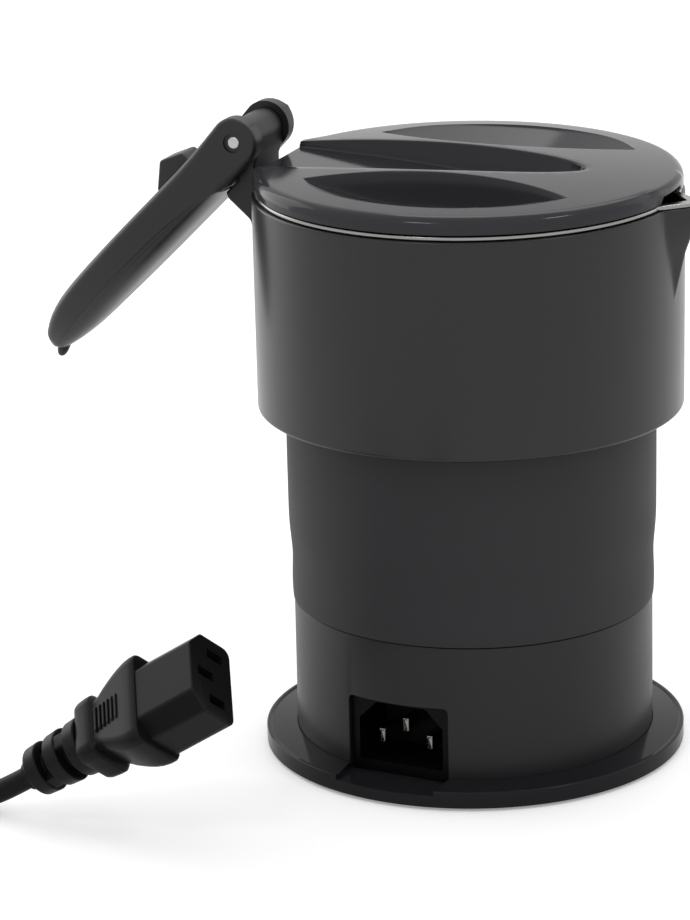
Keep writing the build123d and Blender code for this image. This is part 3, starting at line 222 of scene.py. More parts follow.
def turned(profile, angle, closed=True):
    """An outline of (radius, height) carried round the axis. One that isn't closed begins and
    ends on the axis, where each end becomes one point."""
    return around_axis(profile[:, :1], profile[:, 1:], angle, closed)


def prism(outline, low, high, edge, origin, across, up, along, steps=4):
    """A flat outline carried from low to high along its normal, its two end edges rounded: near
    an end, at each angle of a quarter turn, the outline is drawn in by edge times one minus the
    sine and stands edge times one minus the cosine from that end."""
    outline = np.asarray(outline, float)
    if area_2d(outline) < 0:
        outline = outline[::-1]
    turn = np.linspace(0, math.pi / 2, steps + 1)
    inset = edge * (1 - np.sin(turn))
    move = edge * (1 - np.cos(turn))
    flats = [low + 1.6 * edge, high - 1.6 * edge]
    levels = np.concatenate([low + move, flats, (high - move)[::-1]])
    insets = np.concatenate([inset, [0, 0], inset[::-1]])
    flat = outline[None] - normals_2d(outline)[None] * insets[:, None, None]
    axes = np.array([across, up, along], float)
    points = np.asarray(origin, float) + flat[..., :1] * axes[0] + flat[..., 1:] * axes[1]
    points = points + levels[:, None, None] * axes[2]
    return grid(points, wrap_cols=True, caps=True)


def cutter(outline, low, high, origin, axes):
    """A prism with sharp ends, to cut with."""
    return prism(outline, low, high, SHARP, origin, *axes)


def square_to(along):
    """Two unit directions that are square to a unit direction and to each other."""
    side = np.cross(along, [0, 0, 1] if abs(along[2]) < 0.9 else [1, 0, 0])
    side /= np.linalg.norm(side)
    return side, np.cross(along, side)


def rod(start, end, radius, edge, count=40):
    """A round rod between two points, with rounded end edges."""
    start, end = np.asarray(start, float), np.asarray(end, float)
    length = np.linalg.norm(end - start)
    along = (end - start) / length
    return prism(circle(radius, count), 0, length, edge, start, *square_to(along), along)


def lathe_along(start, along, profile, count=48):
    """An open outline of (distance, radius) carried round a straight axis, with flat ends."""
    along = along / np.linalg.norm(along)
    side, up = square_to(along)
    angle = full_turn(count)[:, None]
    distance, radius = profile[:, :1, None], profile[:, 1:, None]
    points = start + distance * along + radius * (np.cos(angle) * side + np.sin(angle) * up)
    return grid(points, wrap_cols=True, caps=True)


def joined(*shells):
    """Several shells as one list of points and faces."""
    points, faces, start = [], [], 0
    for shell_points, shell_faces in shells:
        points.append(shell_points)
        faces += [[index + start for index in face] for face in shell_faces]
        start += len(shell_points)
    return np.vstack(points), faces


# Meshes
def new_mesh(name, shell):
    """A mesh in metres from a shell in millimetres, and a bmesh of it to mend."""
    points, faces = shell
    mesh = bpy.data.meshes.new(name)
    mesh.from_pydata((points * MM).tolist(), [], faces)
    bm = bmesh.new()
    bm.from_mesh(mesh)
    return mesh, bm


def placed(name, data):
    """A new object of the scene that holds the given mesh, curve, lamp or camera."""
    thing = bpy.data.objects.new(name, data)
    bpy.context.scene.collection.objects.link(thing)
    return thing


def make_piece(name, shell, body, finish, replaced=(), open_shell=False, smooth_angle=40):
    """Puts a shell into a mesh whose faces point outwards, and onto its body."""
    mesh, bm = new_mesh(name, shell)
    bmesh.ops.remove_doubles(bm, verts=bm.verts, dist=WELD * MM)
    bmesh.ops.dissolve_degenerate(bm, edges=bm.edges, dist=WELD * MM)
    bmesh.ops.recalc_face_normals(bm, faces=bm.faces)
    if not open_shell and bm.calc_volume(signed=True) < 0:
        bmesh.ops.reverse_faces(bm, faces=bm.faces)
    bm.to_mesh(mesh)
    bm.free()
    mesh.polygons.foreach_set("use_smooth", np.ones(len(mesh.polygons), bool))
    mesh.set_sharp_from_angle(angle=math.radians(smooth_angle))
    mesh.materials.append(finish)
    piece = placed(name, mesh)
    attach(piece, body)
    if replaced:
        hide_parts(*replaced)
    return piece


def temporary(name, shell):
    """An object with an outward-facing mesh, which carved uses up."""
    mesh, bm = new_mesh(name, shell)
    bmesh.ops.recalc_face_normals(bm, faces=bm.faces)
    bm.to_mesh(mesh)
    bm.free()
    return placed(name, mesh)


def carved(shell, cutters, edge, steps=3, angle=32):
    """A shell less its cutters, with every edge sharper than angle bevelled by edge, as points
    and faces again."""
    body = temporary("carved_body", shell)
    tools = [temporary(f"cutter_{number}", tool) for number, tool in enumerate(cutters)]
    for tool in tools:
        cut = body.modifiers.new("cut", "BOOLEAN")
        cut.operation, cut.solver, cut.object = "DIFFERENCE", "EXACT", tool
    bevel = body.modifiers.new("edges", "BEVEL")
    bevel.width, bevel.segments, bevel.limit_method = edge * MM, steps, "ANGLE"
    bevel.angle_limit, bevel.use_clamp_overlap = math.radians(angle), True
    bevel.miter_outer = "MITER_ARC"
    bpy.context.view_layer.update()
    depsgraph = bpy.context.evaluated_depsgraph_get()
    mesh = bpy.data.meshes.new_from_object(body.evaluated_get(depsgraph))
    points = np.empty(len(mesh.vertices) * 3)
    mesh.vertices.foreach_get("co", points)
    faces = [list(face.vertices) for face in mesh.polygons]
    for thing in (body, *tools):
        spent = thing.data
        bpy.data.objects.remove(thing)
        bpy.data.meshes.remove(spent)
    bpy.data.meshes.remove(mesh)
    return points.reshape(-1, 3) / MM, faces


# Finishes
NOISE_LOW, NOISE_HIGH = 0.3, 0.7


def new_finish(name):
    """An empty material with its shader, and its nodes and links to add to."""
    finish = bpy.data.materials.get(name) or bpy.data.materials.new(name)
    finish.use_nodes = True
    nodes, links = finish.node_tree.nodes, finish.node_tree.links
    nodes.clear()
    shader = nodes.new("ShaderNodeBsdfPrincipled")
    output = nodes.new("ShaderNodeOutputMaterial")
    links.new(shader.outputs["BSDF"], output.inputs["Surface"])
    return finish, nodes, links, shader


def noise(nodes, links, scale, detail=2.0, stretch=(1, 1, 1)):
    """Noise on Object coordinates, stretched by a Mapping node."""
    place = nodes.new("ShaderNodeTexCoord")
    mapping = nodes.new("ShaderNodeMapping")
    mapping.inputs["Scale"].default_value = stretch
    texture = nodes.new("ShaderNodeTexNoise")
    texture.inputs["Scale"].default_value = scale
    texture.inputs["Detail"].default_value = detail
    links.new(place.outputs["Object"], mapping.inputs["Vector"])
    links.new(mapping.outputs["Vector"], texture.inputs["Vector"])
    return texture.outputs["Fac"]


def spread(nodes, links, value, low, high):
    """Maps the middle range of a noise to the range low to high."""
    remap = nodes.new("ShaderNodeMapRange")
    remap.inputs["From Min"].default_value = NOISE_LOW
    remap.inputs["From Max"].default_value = NOISE_HIGH
    remap.inputs["To Min"].default_value = low
    remap.inputs["To Max"].default_value = high
    links.new(value, remap.inputs["Value"])
    return remap.outputs["Result"]


def tinted(nodes, links, value, colour, change):
    """A colour that goes from darker to lighter by change over the middle range of a noise."""
    ramp_node = nodes.new("ShaderNodeValToRGB")
    darker, lighter = ramp_node.color_ramp.elements
    darker.position, lighter.position = NOISE_LOW, NOISE_HIGH
    darker.color = (*[c * (1 - change) for c in colour], 1)
    lighter.color = (*[min(1, c * (1 + change)) for c in colour], 1)
    links.new(value, ramp_node.inputs["Fac"])
    return ramp_node.outputs["Color"]


def bumped(nodes, links, shader, value, strength, depth):
    """Raises a shader's surface with a texture value, by depth in metres at full strength."""
    bump = nodes.new("ShaderNodeBump")
    bump.inputs["Strength"].default_value = strength
    bump.inputs["Distance"].default_value = depth
    links.new(value, bump.inputs["Height"])
    links.new(bump.outputs["Normal"], shader.inputs["Normal"])


def moulded(name, colour, rough, grain=2600.0, relief=0.08, change=0.05, rough_change=0.05,
            coat=0.0, specular=0.5):
    """Moulded plastic or rubber: a fine spark-eroded grain, and gloss that wanders a little."""
    finish, nodes, links, shader = new_finish(name)
    cloud = noise(nodes, links, 22.0, 3.0)
    fine = noise(nodes, links, grain)
    gloss = spread(nodes, links, cloud, rough - rough_change, rough + rough_change)
    links.new(tinted(nodes, links, cloud, colour, change), shader.inputs["Base Color"])
    links.new(gloss, shader.inputs["Roughness"])
    bumped(nodes, links, shader, fine, relief, 0.0001)
    shader.inputs["Specular IOR Level"].default_value = specular
    if coat:
        shader.inputs["Coat Weight"].default_value = coat
        shader.inputs["Coat Roughness"].default_value = 0.12
    return finish


def metal(name, colour, rough, lines=(1, 1, 1), line_scale=400.0, relief=0.05, change=0.04):
    """Metal with polishing or drawing lines: noise stretched along the way it was worked."""
    finish, nodes, links, shader = new_finish(name)
    worked = noise(nodes, links, line_scale, 3.0, lines)
    cloud = noise(nodes, links, 35.0)
    gloss = spread(nodes, links, worked, rough * 0.75, rough * 1.3)
    shader.inputs["Metallic"].default_value = 1.0
    links.new(tinted(nodes, links, cloud, colour, change), shader.inputs["Base Color"])
    links.new(gloss, shader.inputs["Roughness"])
    bumped(nodes, links, shader, worked, relief, 0.00005)
    return finish


def colour_property(name, description, default):
    """A colour that a user can change."""
    return FloatVectorProperty(name=name, description=description, subtype="COLOR", size=3,
                               min=0, max=1, default=default)


def length_property(name, description, default):
    """A length that a user can change, its default in millimetres."""
    return FloatProperty(name=name, description=description, default=default * MM,
                         subtype="DISTANCE", unit="LENGTH", precision=5)


def power_property(name, description, default):
    """A lamp's power, in watts."""
    return FloatProperty(name=name, description=description, default=default, min=0, unit="POWER")


class KettleFinishes(PropertyGroup):
    """Colours of the kettle's materials."""

    shell: colour_property("Shell", "Glossy moulded plastic of shell and handle underside",
                           (0.0115, 0.0113, 0.0132))
    satin: colour_property("Satin", "Satin moulded plastic of drum, bracket and handle",
                           (0.0085, 0.0084, 0.0098))
    silicone: colour_property("Silicone", "Matt silicone of the folding wall",
                              (0.0175, 0.0172, 0.0192))
    black: colour_property("Black", "Black moulded plastic of the parts in the drum",
                           (0.0030, 0.0030, 0.0034))
    steel: colour_property("Steel", "Brushed stainless steel", (0.52, 0.515, 0.505))


class KettleSizes(PropertyGroup):
    """Sizes that can be changed without leaving the frame."""

    wall: length_property("Wall", "Thickness of the folding wall", 2.25)
    shell_edge: length_property("Shell edge", "Rounding of the shell's lower edge", 1.0)
    beak_round: length_property("Beak rounding", "Rounding of the pouring beak's ridge", 0.5)
    lid_edge: length_property("Lid edge", "Rounding of the lid's outer edge", 3.0)
    rim_roll: length_property("Rim roll", "Rounding of the steel rim", 0.45)
    plate_edge: length_property("Foot edge", "Rounding of the foot plate's edges", 0.45)
    drum_edge: length_property("Drum edge", "Rounding of the drum's upper edge", 0.4)
    handle_edge: length_property("Handle edge", "Rounding along the handle's top edges", 2.6)
    bracket_edge: length_property("Bracket edge", "Rounding of the hinge bracket's sides", 0.7)
    connector_edge: length_property("Connector edge", "Rounding of the connector's face", 0.4)
    cord: length_property("Cord", "Diameter of the mains lead", 6.0)
    segments: IntProperty(name="Segments", description="Facets round the kettle", default=288,
                          min=48, max=400)


def make_finishes():
    """All materials by name."""
    own = bpy.context.scene.kettle_finishes
    smooth = {"relief": 0.02, "rough_change": 0.02}
    return {
        "shell": moulded("shell_plastic", own.shell, 0.24, relief=0.03, rough_change=0.02,
                         specular=0.38),
        # The lid's plastic has twice the shell's colour: painted light that lightens the kettle's
        # top, where more light falls from above
        "lid": moulded("lid_plastic", (0.0230, 0.0226, 0.0262), 0.12, specular=0.20, **smooth),
        "satin": moulded("satin_plastic", own.satin, 0.38, relief=0.10, specular=0.33),
        "silicone": moulded("silicone_wall_rubber", own.silicone, 0.58, grain=1500, relief=0.10,
                            specular=0.28),
        "black": moulded("black_plastic", own.black, 0.40, relief=0.12, specular=0.25),
        "handle": moulded("handle_plastic", own.satin, 0.36, relief=0.10, specular=0.40),
        "underside": moulded("handle_gloss_plastic", own.shell, 0.30, relief=0.04,
                             rough_change=0.02),
        "inlet": moulded("inlet_plastic", (0.0012, 0.0012, 0.0014), 0.45, relief=0.10,
                         specular=0.12),
        "blade": metal("blade_metal", (0.30, 0.29, 0.27), 0.22, (1, 6, 1), 900),
        "foot_gloss": moulded("foot_plastic", (0.0120, 0.0120, 0.0136), 0.12, specular=0.10,
                              **smooth),
        "connector": moulded("connector_rubber", (0.0045, 0.0045, 0.0052), 0.36, grain=1800,
                             relief=0.10, specular=0.14),
        "rubber": moulded("lead_rubber", (0.0060, 0.0060, 0.0066), 0.44, grain=1800,
                          relief=0.10, specular=0.10),
        "seal": moulded("seal_silicone", own.silicone, 0.60, relief=0.10),
        "foot": moulded("foot_rubber", (0.018, 0.018, 0.018), 0.70, relief=0.2),
        "rim": metal("rim_steel", (0.30, 0.30, 0.29), 0.20, (1, 1, 6), 500, relief=0.03),
        "steel": metal("brushed_steel", own.steel, 0.28, (1, 1, 8), 700, relief=0.08),
        "contact": metal("contact_metal", (0.42, 0.41, 0.38), 0.25, (1, 6, 1), 900),
        "aluminium": metal("aluminium_disc", (0.72, 0.72, 0.74), 0.40, (1, 1, 1), 500),
        "element": metal("element_sheath", (0.26, 0.25, 0.24), 0.45, (1, 1, 1), 900),
        "brown": moulded("wire_brown", (0.16, 0.06, 0.02), 0.45),
        "blue": moulded("wire_blue", (0.03, 0.10, 0.40), 0.45),
        "green": moulded("wire_green", (0.20, 0.42, 0.05), 0.45),
        "lens": moulded("lens_red", (0.35, 0.012, 0.010), 0.15, relief=0.02, coat=0.6),
    }


# Which finish each of the frame's own parts gets
CAD_FINISHES = {
    "foot": ("rubber_feet",),
    "steel": ("plate_screws", "heating_plate", "lower_hoop", "upper_hoop", "bracket_screws",
              "hinge_pin"),
    "contact": ("inlet_pins", "thermal_fuse", "connector_contacts", "plug_pins"),
    "aluminium": ("heat_spreader",),
    "element": ("heating_element",),
    "black": ("thermostat", "switch_body", "inlet_body", "connector_body", "plug_body"),
    "brown": ("live_wire",),
    "blue": ("neutral_wire",),
    "green": ("earth_wire",),
    "satin": ("power_button", "lid_base", "base_plate", "base_housing", "handle_frame",
              "latch_button"),
    "lens": ("indicator_lens",),
    "seal": ("lid_seal",),
    "shell": ("hinge_bracket", "handle_cover", "upper_shell"),
    "lid": ("lid_cover",),
    "rim": ("steel_rim",),
    "silicone": ("silicone_wall",),
    "rubber": ("connector_boot", "cord_tie", "plug_boot", "cord_lead", "cord_coil", "cord_tail"),
}
FINISHES = {}


class KETTLE_OT_finishes(Operator):
    """Makes the materials and puts them on the frame's own parts"""

    bl_idname = "kettle.finishes"
    bl_label = "Finishes"

    def execute(self, context):
        FINISHES.update(make_finishes())
        for finish, nodes in CAD_FINISHES.items():
            for node in nodes:
                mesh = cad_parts[node].data
                mesh.materials.clear()
                mesh.materials.append(FINISHES[finish])
        return {"FINISHED"}


# Folding wall: (radius, height above the seam) up its outside
WALL_SIDE = [(48.8, 0), (48.9, 1.2), (49.0, 4.4), (48.85, 8.5), (48.75, 12.4), (49.15, 17),
             (49.55, 21.4), (49.6, 30), (49.65, 42), (49.65, 54), (49.65, 66), (49.65, 76),
             (49.7, 83.4), (50.8, 87), (52.0, 90.4), (52.1, 94), (52.1, 98.4)]
WALL_IN_R = 47.0


class KETTLE_OT_wall(Operator):
    """Folding silicone wall: a smooth sleeve with a clamped foot and a wider head"""

    bl_idname = "kettle.wall"
    bl_label = "Silicone wall"

    def execute(self, context):
        sizes = context.scene.kettle_sizes
        side = softened(WALL_SIDE, 3)
        level = np.linspace(0, WALL_SIDE[-1][1], 90)
        outer = np.interp(level, side[:, 1], side[:, 0])
        inner = np.maximum(outer - sizes.wall / MM, WALL_IN_R)
        profile = np.vstack([np.column_stack([outer, SEAM_Z + level]),
                             np.column_stack([inner, SEAM_Z + level])[::-1]])
        wall = make_piece("folding_wall", turned(profile, full_turn(sizes.segments)), "base",
                          FINISHES["silicone"], ["silicone_wall"])
        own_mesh(wall)
        return {"FINISHED"}


# The beak, by height: how far its tip reaches and how fast its sides fall back
BEAK_Z = (129.0, 141.0, 153.6)
BEAK_REACH = (57.3, 60.0, 64.5)
BEAK_SLOPE = (0.9, 1.5, 0.96)
BEAK_HALF_ANGLE = 0.42

# Upper shell and rim: radii, and how far the beak's tip stands back from BEAK_REACH at each
SHELL_R, SHELL_LOW_R, SHELL_IN_R = 57.2, 57.0, 55.0
SHELL_INSET = 2.8
RIM_RADII = RIM_IN_R, RIM_WALL_R, RIM_R = 52.4, 53.2, 56.4
RIM_INSETS = (4.7, 3.1, 0.3)
RIM_LOW_Z = 128.0
RIM_SEAT_Z = SHELL_TOP_Z + 0.15


def beaked_radius(radius, height, inset, angle, ridge, weld=0.6):
    """The larger of a circle and the beak's wedge, blended over weld: the wedge is the line
    through its tip, r = reach / (cos a + |sin a| / slope), with |sin a| rounded by ridge."""
    reach = np.interp(height, BEAK_Z, BEAK_REACH) - inset
    slope = np.interp(height, BEAK_Z, BEAK_SLOPE)
    soft = ridge / reach
    sine = np.sqrt(np.sin(angle) ** 2 + soft**2) - soft
    ahead = np.cos(angle)
    wedge = np.where(ahead > 0.5, reach / np.maximum(ahead + sine / slope, 0.1), 0)
    wedge = np.where(height >= BEAK_Z[0], wedge, 0)
    apart = np.clip(0.5 + (wedge - radius) / (2 * weld), 0, 1)
    return radius * (1 - apart) + wedge * apart + weld * apart * (1 - apart)


def beaked(profile, segments, ridge):
    """A closed outline of (radius, height, inset) carried round the axis, pushed out where the
    beak is, with more angles there."""
    around = np.linspace(-math.pi, math.pi, segments + 1)[:-1]
    close = np.linspace(-BEAK_HALF_ANGLE, BEAK_HALF_ANGLE, 141)
    angle = np.unique(np.round(np.concatenate([around, close]), 6))
    radius, height, inset = (profile[:, axis, None] for axis in range(3))
    return around_axis(beaked_radius(radius, height, inset, angle[None], ridge), height, angle)


def levelled(outline, level, outer, inner):
    """A closed outline of (radius, height) whose outer and inner walls get a point at each level,
    so that the beak can bend them."""
    low = outline[outline[:, 1] < level[0] - 0.5]
    high = outline[outline[:, 1] > level[-1] + 0.5]
    outer, inner = (np.column_stack([np.broadcast_to(radius, level.shape), level])
                    for radius in (outer, inner))
    return np.vstack([low, outer, high, inner[::-1]])


class KETTLE_OT_shell(Operator):
    """Upper shell with its pouring beak, and the steel rim that follows it"""

    bl_idname = "kettle.shell"
    bl_label = "Upper shell and rim"

    def execute(self, context):
        sizes = context.scene.kettle_sizes
        ridge = sizes.beak_round / MM
        section = [(SHELL_IN_R, SHELL_LOW_Z), (SHELL_LOW_R, SHELL_LOW_Z), (SHELL_R, BEAK_Z[1]),
                   (SHELL_R, SHELL_TOP_Z), (SHELL_IN_R, SHELL_TOP_Z)]
        outline = rounded(section, [0.5, sizes.shell_edge / MM, 0, 0.5, 0.3])
        level = np.linspace(SHELL_LOW_Z + 3, SHELL_TOP_Z - 2, 46)
        outer = np.interp(level, [SHELL_LOW_Z, BEAK_Z[1]], [SHELL_LOW_R, SHELL_R])
        ring = levelled(outline, level, outer, SHELL_IN_R)
        inset = SHELL_INSET * (SHELL_R - ring[:, 0]) / (SHELL_R - SHELL_IN_R)
        shell = beaked(np.column_stack([ring, inset]), sizes.segments, ridge)
        make_piece("shell_skin", shell, "upper", FINISHES["shell"],
                   ["upper_shell"])
        roll = sizes.rim_roll / MM
        section = [(RIM_IN_R, RIM_LOW_Z), (RIM_WALL_R, RIM_LOW_Z), (RIM_WALL_R, RIM_SEAT_Z),
                   (RIM_R, RIM_SEAT_Z), (RIM_R, RIM_TOP_Z), (RIM_IN_R, RIM_TOP_Z)]
        outline = rounded(section, [0.2, 0.2, 0.2, roll, roll, 0.5])
        ring = levelled(outline, np.linspace(129.5, 152.5, 30), RIM_WALL_R, RIM_IN_R)
        inset = np.interp(ring[:, 0], RIM_RADII, RIM_INSETS)
        rim = beaked(np.column_stack([ring, inset]), sizes.segments, ridge)
        make_piece("rim_skin", rim, "upper", FINISHES["rim"], ["steel_rim"])
        return {"FINISHED"}


# Lid: its dome, and the chord that cuts it off before the hinge
LID_EDGE_Z = LID_LOW_Z + 4.2
LID_CROWN = 2.7
LID_CHORD_X = -54.0
CHORD_EDGE = 0.3
LID_SKIN = 1.4
LID_STEP = 1.7
# Angles over which the edge's rounding shrinks, towards the chord and over the beak
CHORD_FADE = 0.16
BEAK_FADE_END, BEAK_FADE = 0.24, 0.07
# How far the skirt is raised over the beak, and how far to either side
SKIRT_LIFT, SKIRT_LIFT_HALF, SKIRT_LIFT_FADE = 1.8, 9.0, 2.0

# The handle's groove: half its outline, its rounding and draft, and its floor
GROOVE = [(-58.8, 15.26), (-34.1, 17.1), (-22.7, 16.8), (-8.5, 15.96), (5.7, 13.7), (18.2, 10.5),
          (26.7, 7.0), (32.4, 2.8), (33.2, 0.0)]
GROOVE_RIM = 0.55
GROOVE_DRAFT = 0.3
GROOVE_FOOT = 0.8
GROOVE_FLOOR_Z = 158.7
GROOVE_FALL = math.tan(math.radians(3.4))
GROOVE_SPINE_X = 24.0

# Finger scoops: outlines as half length, then y of the tips, the outer and the inner arc
SCOOP_TOP = (36.5, 28.0, 48.0, 16.8)
SCOOP_FLOOR = (25.0, 30.0, 39.0, 24.0)
SCOOP_X = 1.0
SCOOP_FLOOR_Z = 148.4
SCOOP_SPINE_Y = 31.0
SCOOP_SPINE_HALF = 17
# The outer wall: where along y it takes over from the steep one, and its soft start
SCOOP_OUT_Y, SCOOP_OUT_FADE = 27.0, 12.0
SCOOP_EASE = 0.04
# The long slope: how far under the rim it starts, and how fast it falls
SCOOP_LIP = 0.35
SCOOP_FALL = 0.3
# How softly it meets the walls: under the rim, and how much more lower down the inner wall
SCOOP_SOFT, SCOOP_MORE_SOFT = 0.05, 0.35
# The steep inner wall: share of the way in, share of the way down
SCOOP_WALL = [(0, 0), (0.012, 0.004), (0.028, 0.018), (0.045, 0.045), (0.06, 0.08),
              (0.075, 0.13), (0.10, 0.22), (0.14, 0.37), (0.19, 0.53), (0.25, 0.68),
              (0.34, 0.81), (0.46, 0.90), (0.62, 0.96), (0.80, 0.99), (1.0, 1.0)]


def dome(x, y):
    """Height of the lid's top: a parabola of the distance from the axis."""
    return LID_EDGE_Z + LID_CROWN * (1 - (x**2 + y**2) / LID_R**2)


def on_dome(plan):
    """Flat points raised to the lid's top."""
    return np.column_stack([plan, dome(plan[:, 0], plan[:, 1])])


def ramp(x):
    """Height of the groove's sloping floor."""
    return GROOVE_FLOOR_Z - (x - PIN[0]) * GROOVE_FALL


def lens_outline(half_len, tip_y, out_y, in_y, count=130):
    """Two arcs between the tips of a scoop, as angles shared evenly along each."""

    def arc(bulge):
        rise = bulge - tip_y
        radius = (half_len**2 + rise**2) / (2 * abs(rise))
        half = math.asin(min(1, half_len / radius))
        angle = np.linspace(-half, half, count + 1)[:-1]
        x = radius * np.sin(angle)
        y = tip_y + math.copysign(1, rise) * (radius * np.cos(angle) - radius * math.cos(half))
        return np.stack([x, y], -1)

    outer = arc(out_y)
    inner = arc(in_y)
    inner[:, 0] *= -1
    return np.vstack([outer, inner]) + [SCOOP_X, 0]


def scoop_slope(x, y):
    """Height of a scoop's long slope: it starts just under the outer rim, which is a parabola in
    plan, and falls evenly towards the inner wall."""
    half_len, tip_y, out_y, _ = SCOOP_TOP
    rim_y = tip_y + (out_y - tip_y) * (1 - ((x - SCOOP_X) / half_len) ** 2)
    return dome(x, rim_y) - SCOOP_LIP - SCOOP_FALL * (rim_y - y)


def higher(one, other, soft=SCOOP_SOFT):
    """The higher of two heights, with a soft turn where they cross:
    half of a + b + sqrt((a - b)^2 + soft)."""
    return 0.5 * (one + other + np.sqrt((one - other) ** 2 + soft))


def scoop_shell(side):
    """A scoop: rows go from the top outline to the floor outline, down a rounded rim, a wall and
    a rounded foot, and then shrink to the floor's middle line. The wall is steep on the inner
    side and gentle on the outer one, and the long slope stands over both."""
    top, floor = lens_outline(*SCOOP_TOP), lens_outline(*SCOOP_FLOOR)
    share = np.concatenate([[0, 0.012, 0.02], np.arange(3, 30) / 100,
                            [0.34, 0.40, 0.46, 0.54, 0.62, 0.71, 0.80, 1.0]])
    plan = between(top, floor, share)
    wall = softened(SCOOP_WALL, 2)
    steep = np.interp(share, wall[:, 0], wall[:, 1])
    gentle = (share - SCOOP_EASE * (1 - np.exp(-share / SCOOP_EASE))) / (1 - SCOOP_EASE)
    outer = np.clip((top[:, 1] - SCOOP_OUT_Y) / SCOOP_OUT_FADE, 0, 1)[None]
    drop = steep[:, None] * (1 - outer) + gentle[:, None] * outer
    height = dome(top[:, 0], top[:, 1])[None] * (1 - drop) + SCOOP_FLOOR_Z * drop
    lower = np.clip((share[1:, None] - 0.02) / 0.08, 0, 1)
    soft = SCOOP_SOFT + SCOOP_MORE_SOFT * lower * (1 - outer)
    height[1:] = higher(height[1:], scoop_slope(plan[1:, :, 0], plan[1:, :, 1]), soft)
    spine_x = np.clip(floor[:, 0], SCOOP_X - SCOOP_SPINE_HALF, SCOOP_X + SCOOP_SPINE_HALF)
    spine = np.stack([spine_x, np.full(len(floor), SCOOP_SPINE_Y)], -1)
    bottom = between(floor, spine, np.linspace(0, 1, 7)[1:])
    bottom_z = higher(scoop_slope(bottom[..., 0], bottom[..., 1]), SCOOP_FLOOR_Z)
    plan, height = np.vstack([plan, bottom]), np.vstack([height, bottom_z])
    points = np.concatenate([plan, height[..., None]], -1)
    points[..., 1] *= side
    return grid(points, wrap_cols=True), points[0, :, :2]


def groove_shell():
    """The handle's groove: its outline on the dome, a rounded rim, a wall with a little draft, a
    rounded foot, and the sloping floor up to the middle line."""
    side = softened(GROOVE, 3)
    mouth_x = LID_CHORD_X + CHORD_EDGE
    mouth = [(mouth_x, np.interp(mouth_x, side[:, 0], side[:, 1]))]
    half = spaced(np.vstack([mouth, side[side[:, 0] > LID_CHORD_X + 2]]), 0.9)
    outline = np.vstack([half, (half * [1, -1])[::-1][1:]])
    inward = normals_2d(outline, closed=False)
    if inward[5, 1] > 0:
        inward = -inward
    inward[0], inward[-1] = (0, -1), (0, 1)
    turn = np.linspace(0, math.pi / 2, 6)
    top_z = dome(outline[:, 0], outline[:, 1])
    foot_z = ramp(outline[:, 0]) + GROOVE_FOOT
    rows = [np.maximum(top_z - GROOVE_RIM * (1 - np.cos(angle)), foot_z) for angle in turn]
    draft = GROOVE_DRAFT * np.maximum(rows[-1] - foot_z, 0)
    rows += [0.5 * (rows[-1] + foot_z), foot_z]
    rows += [foot_z - GROOVE_FOOT * math.sin(angle) for angle in turn[1:]]
    shift = np.concatenate([GROOVE_RIM * np.sin(turn), [GROOVE_RIM + 0.15, GROOVE_RIM + 0.25],
                            GROOVE_RIM + 0.25 + GROOVE_FOOT * (1 - np.cos(turn[1:]))])
    drafted = np.concatenate([np.zeros(6), [0.5], np.ones(len(shift) - 7)])
    shift = shift[:, None] + drafted[:, None] * draft[None]
    plan = outline[None] + inward[None] * shift[..., None]
    spine = np.stack([np.minimum(outline[:, 0], GROOVE_SPINE_X), np.zeros(len(outline))], -1)
    bottom = between(plan[-1], spine, np.linspace(0, 1, 9)[1:])
    height = np.vstack([np.array(rows), ramp(bottom[..., 0])])
    points = np.concatenate([np.vstack([plan, bottom]), height[..., None]], -1)
    return grid(points), points


def lid_outline(edge):
    """The lid's round outline, from one end of the chord to the other, drawn in by the rounding
    of its edge, and that rounding, which shrinks towards the chord and over the beak."""
    end = math.pi - math.acos(-(LID_CHORD_X + CHORD_EDGE) / (LID_R - CHORD_EDGE))
    angle = np.linspace(-end, end, 361)
    from_chord = np.clip((end - abs(angle)) / CHORD_FADE, 0, 1)
    over_beak = np.clip((BEAK_FADE_END - abs(angle)) / BEAK_FADE, 0, 1)
    soft = CHORD_EDGE + (edge - CHORD_EDGE) * np.sin(math.pi / 2 * from_chord)
    soft -= 0.5 * edge * over_beak
    return (LID_R - soft)[:, None] * np.stack([np.cos(angle), np.sin(angle)], -1), soft


def lid_top(loop, holes, reach):
    """The dome inside a loop and outside its holes, as triangles on an even pattern of points up
    to a reach; a ring of points beside each hole keeps its rim even."""
    row, col = np.mgrid[-40:41, -40:41]
    lattice = np.stack([(col + 0.5 * (row % 2)) * LID_STEP, row * LID_STEP * math.sqrt(0.75)], -1)
    lattice = lattice.reshape(-1, 2)
    beside = [hole + 0.45 * outward(hole) for hole in holes]
    fixed = np.vstack([loop, *holes, *beside])
    gap = np.min(np.linalg.norm(lattice[:, None] - fixed[None], axis=2), axis=1)
    lattice = lattice[(gap > 0.75 * LID_STEP) & (np.linalg.norm(lattice, axis=1) < reach)]
    edges, start = [], 0
    for ring in (loop, *holes):
        number = np.arange(len(ring))
        edges += (np.stack([number, (number + 1) % len(ring)], -1) + start).tolist()
        start += len(ring)
    spots = [Vector(spot) for spot in np.vstack([fixed, lattice]).tolist()]
    found = delaunay_2d_cdt(spots, edges, [], 0, 1e-7)
    plan = np.array([tuple(spot) for spot in found[0]])
    faces = np.array(found[2])
    middle = plan[faces].mean(1)
    keep = inside(middle, loop)
    for hole in holes:
        keep &= ~inside(middle, hole)
    return on_dome(plan), faces[keep].tolist()


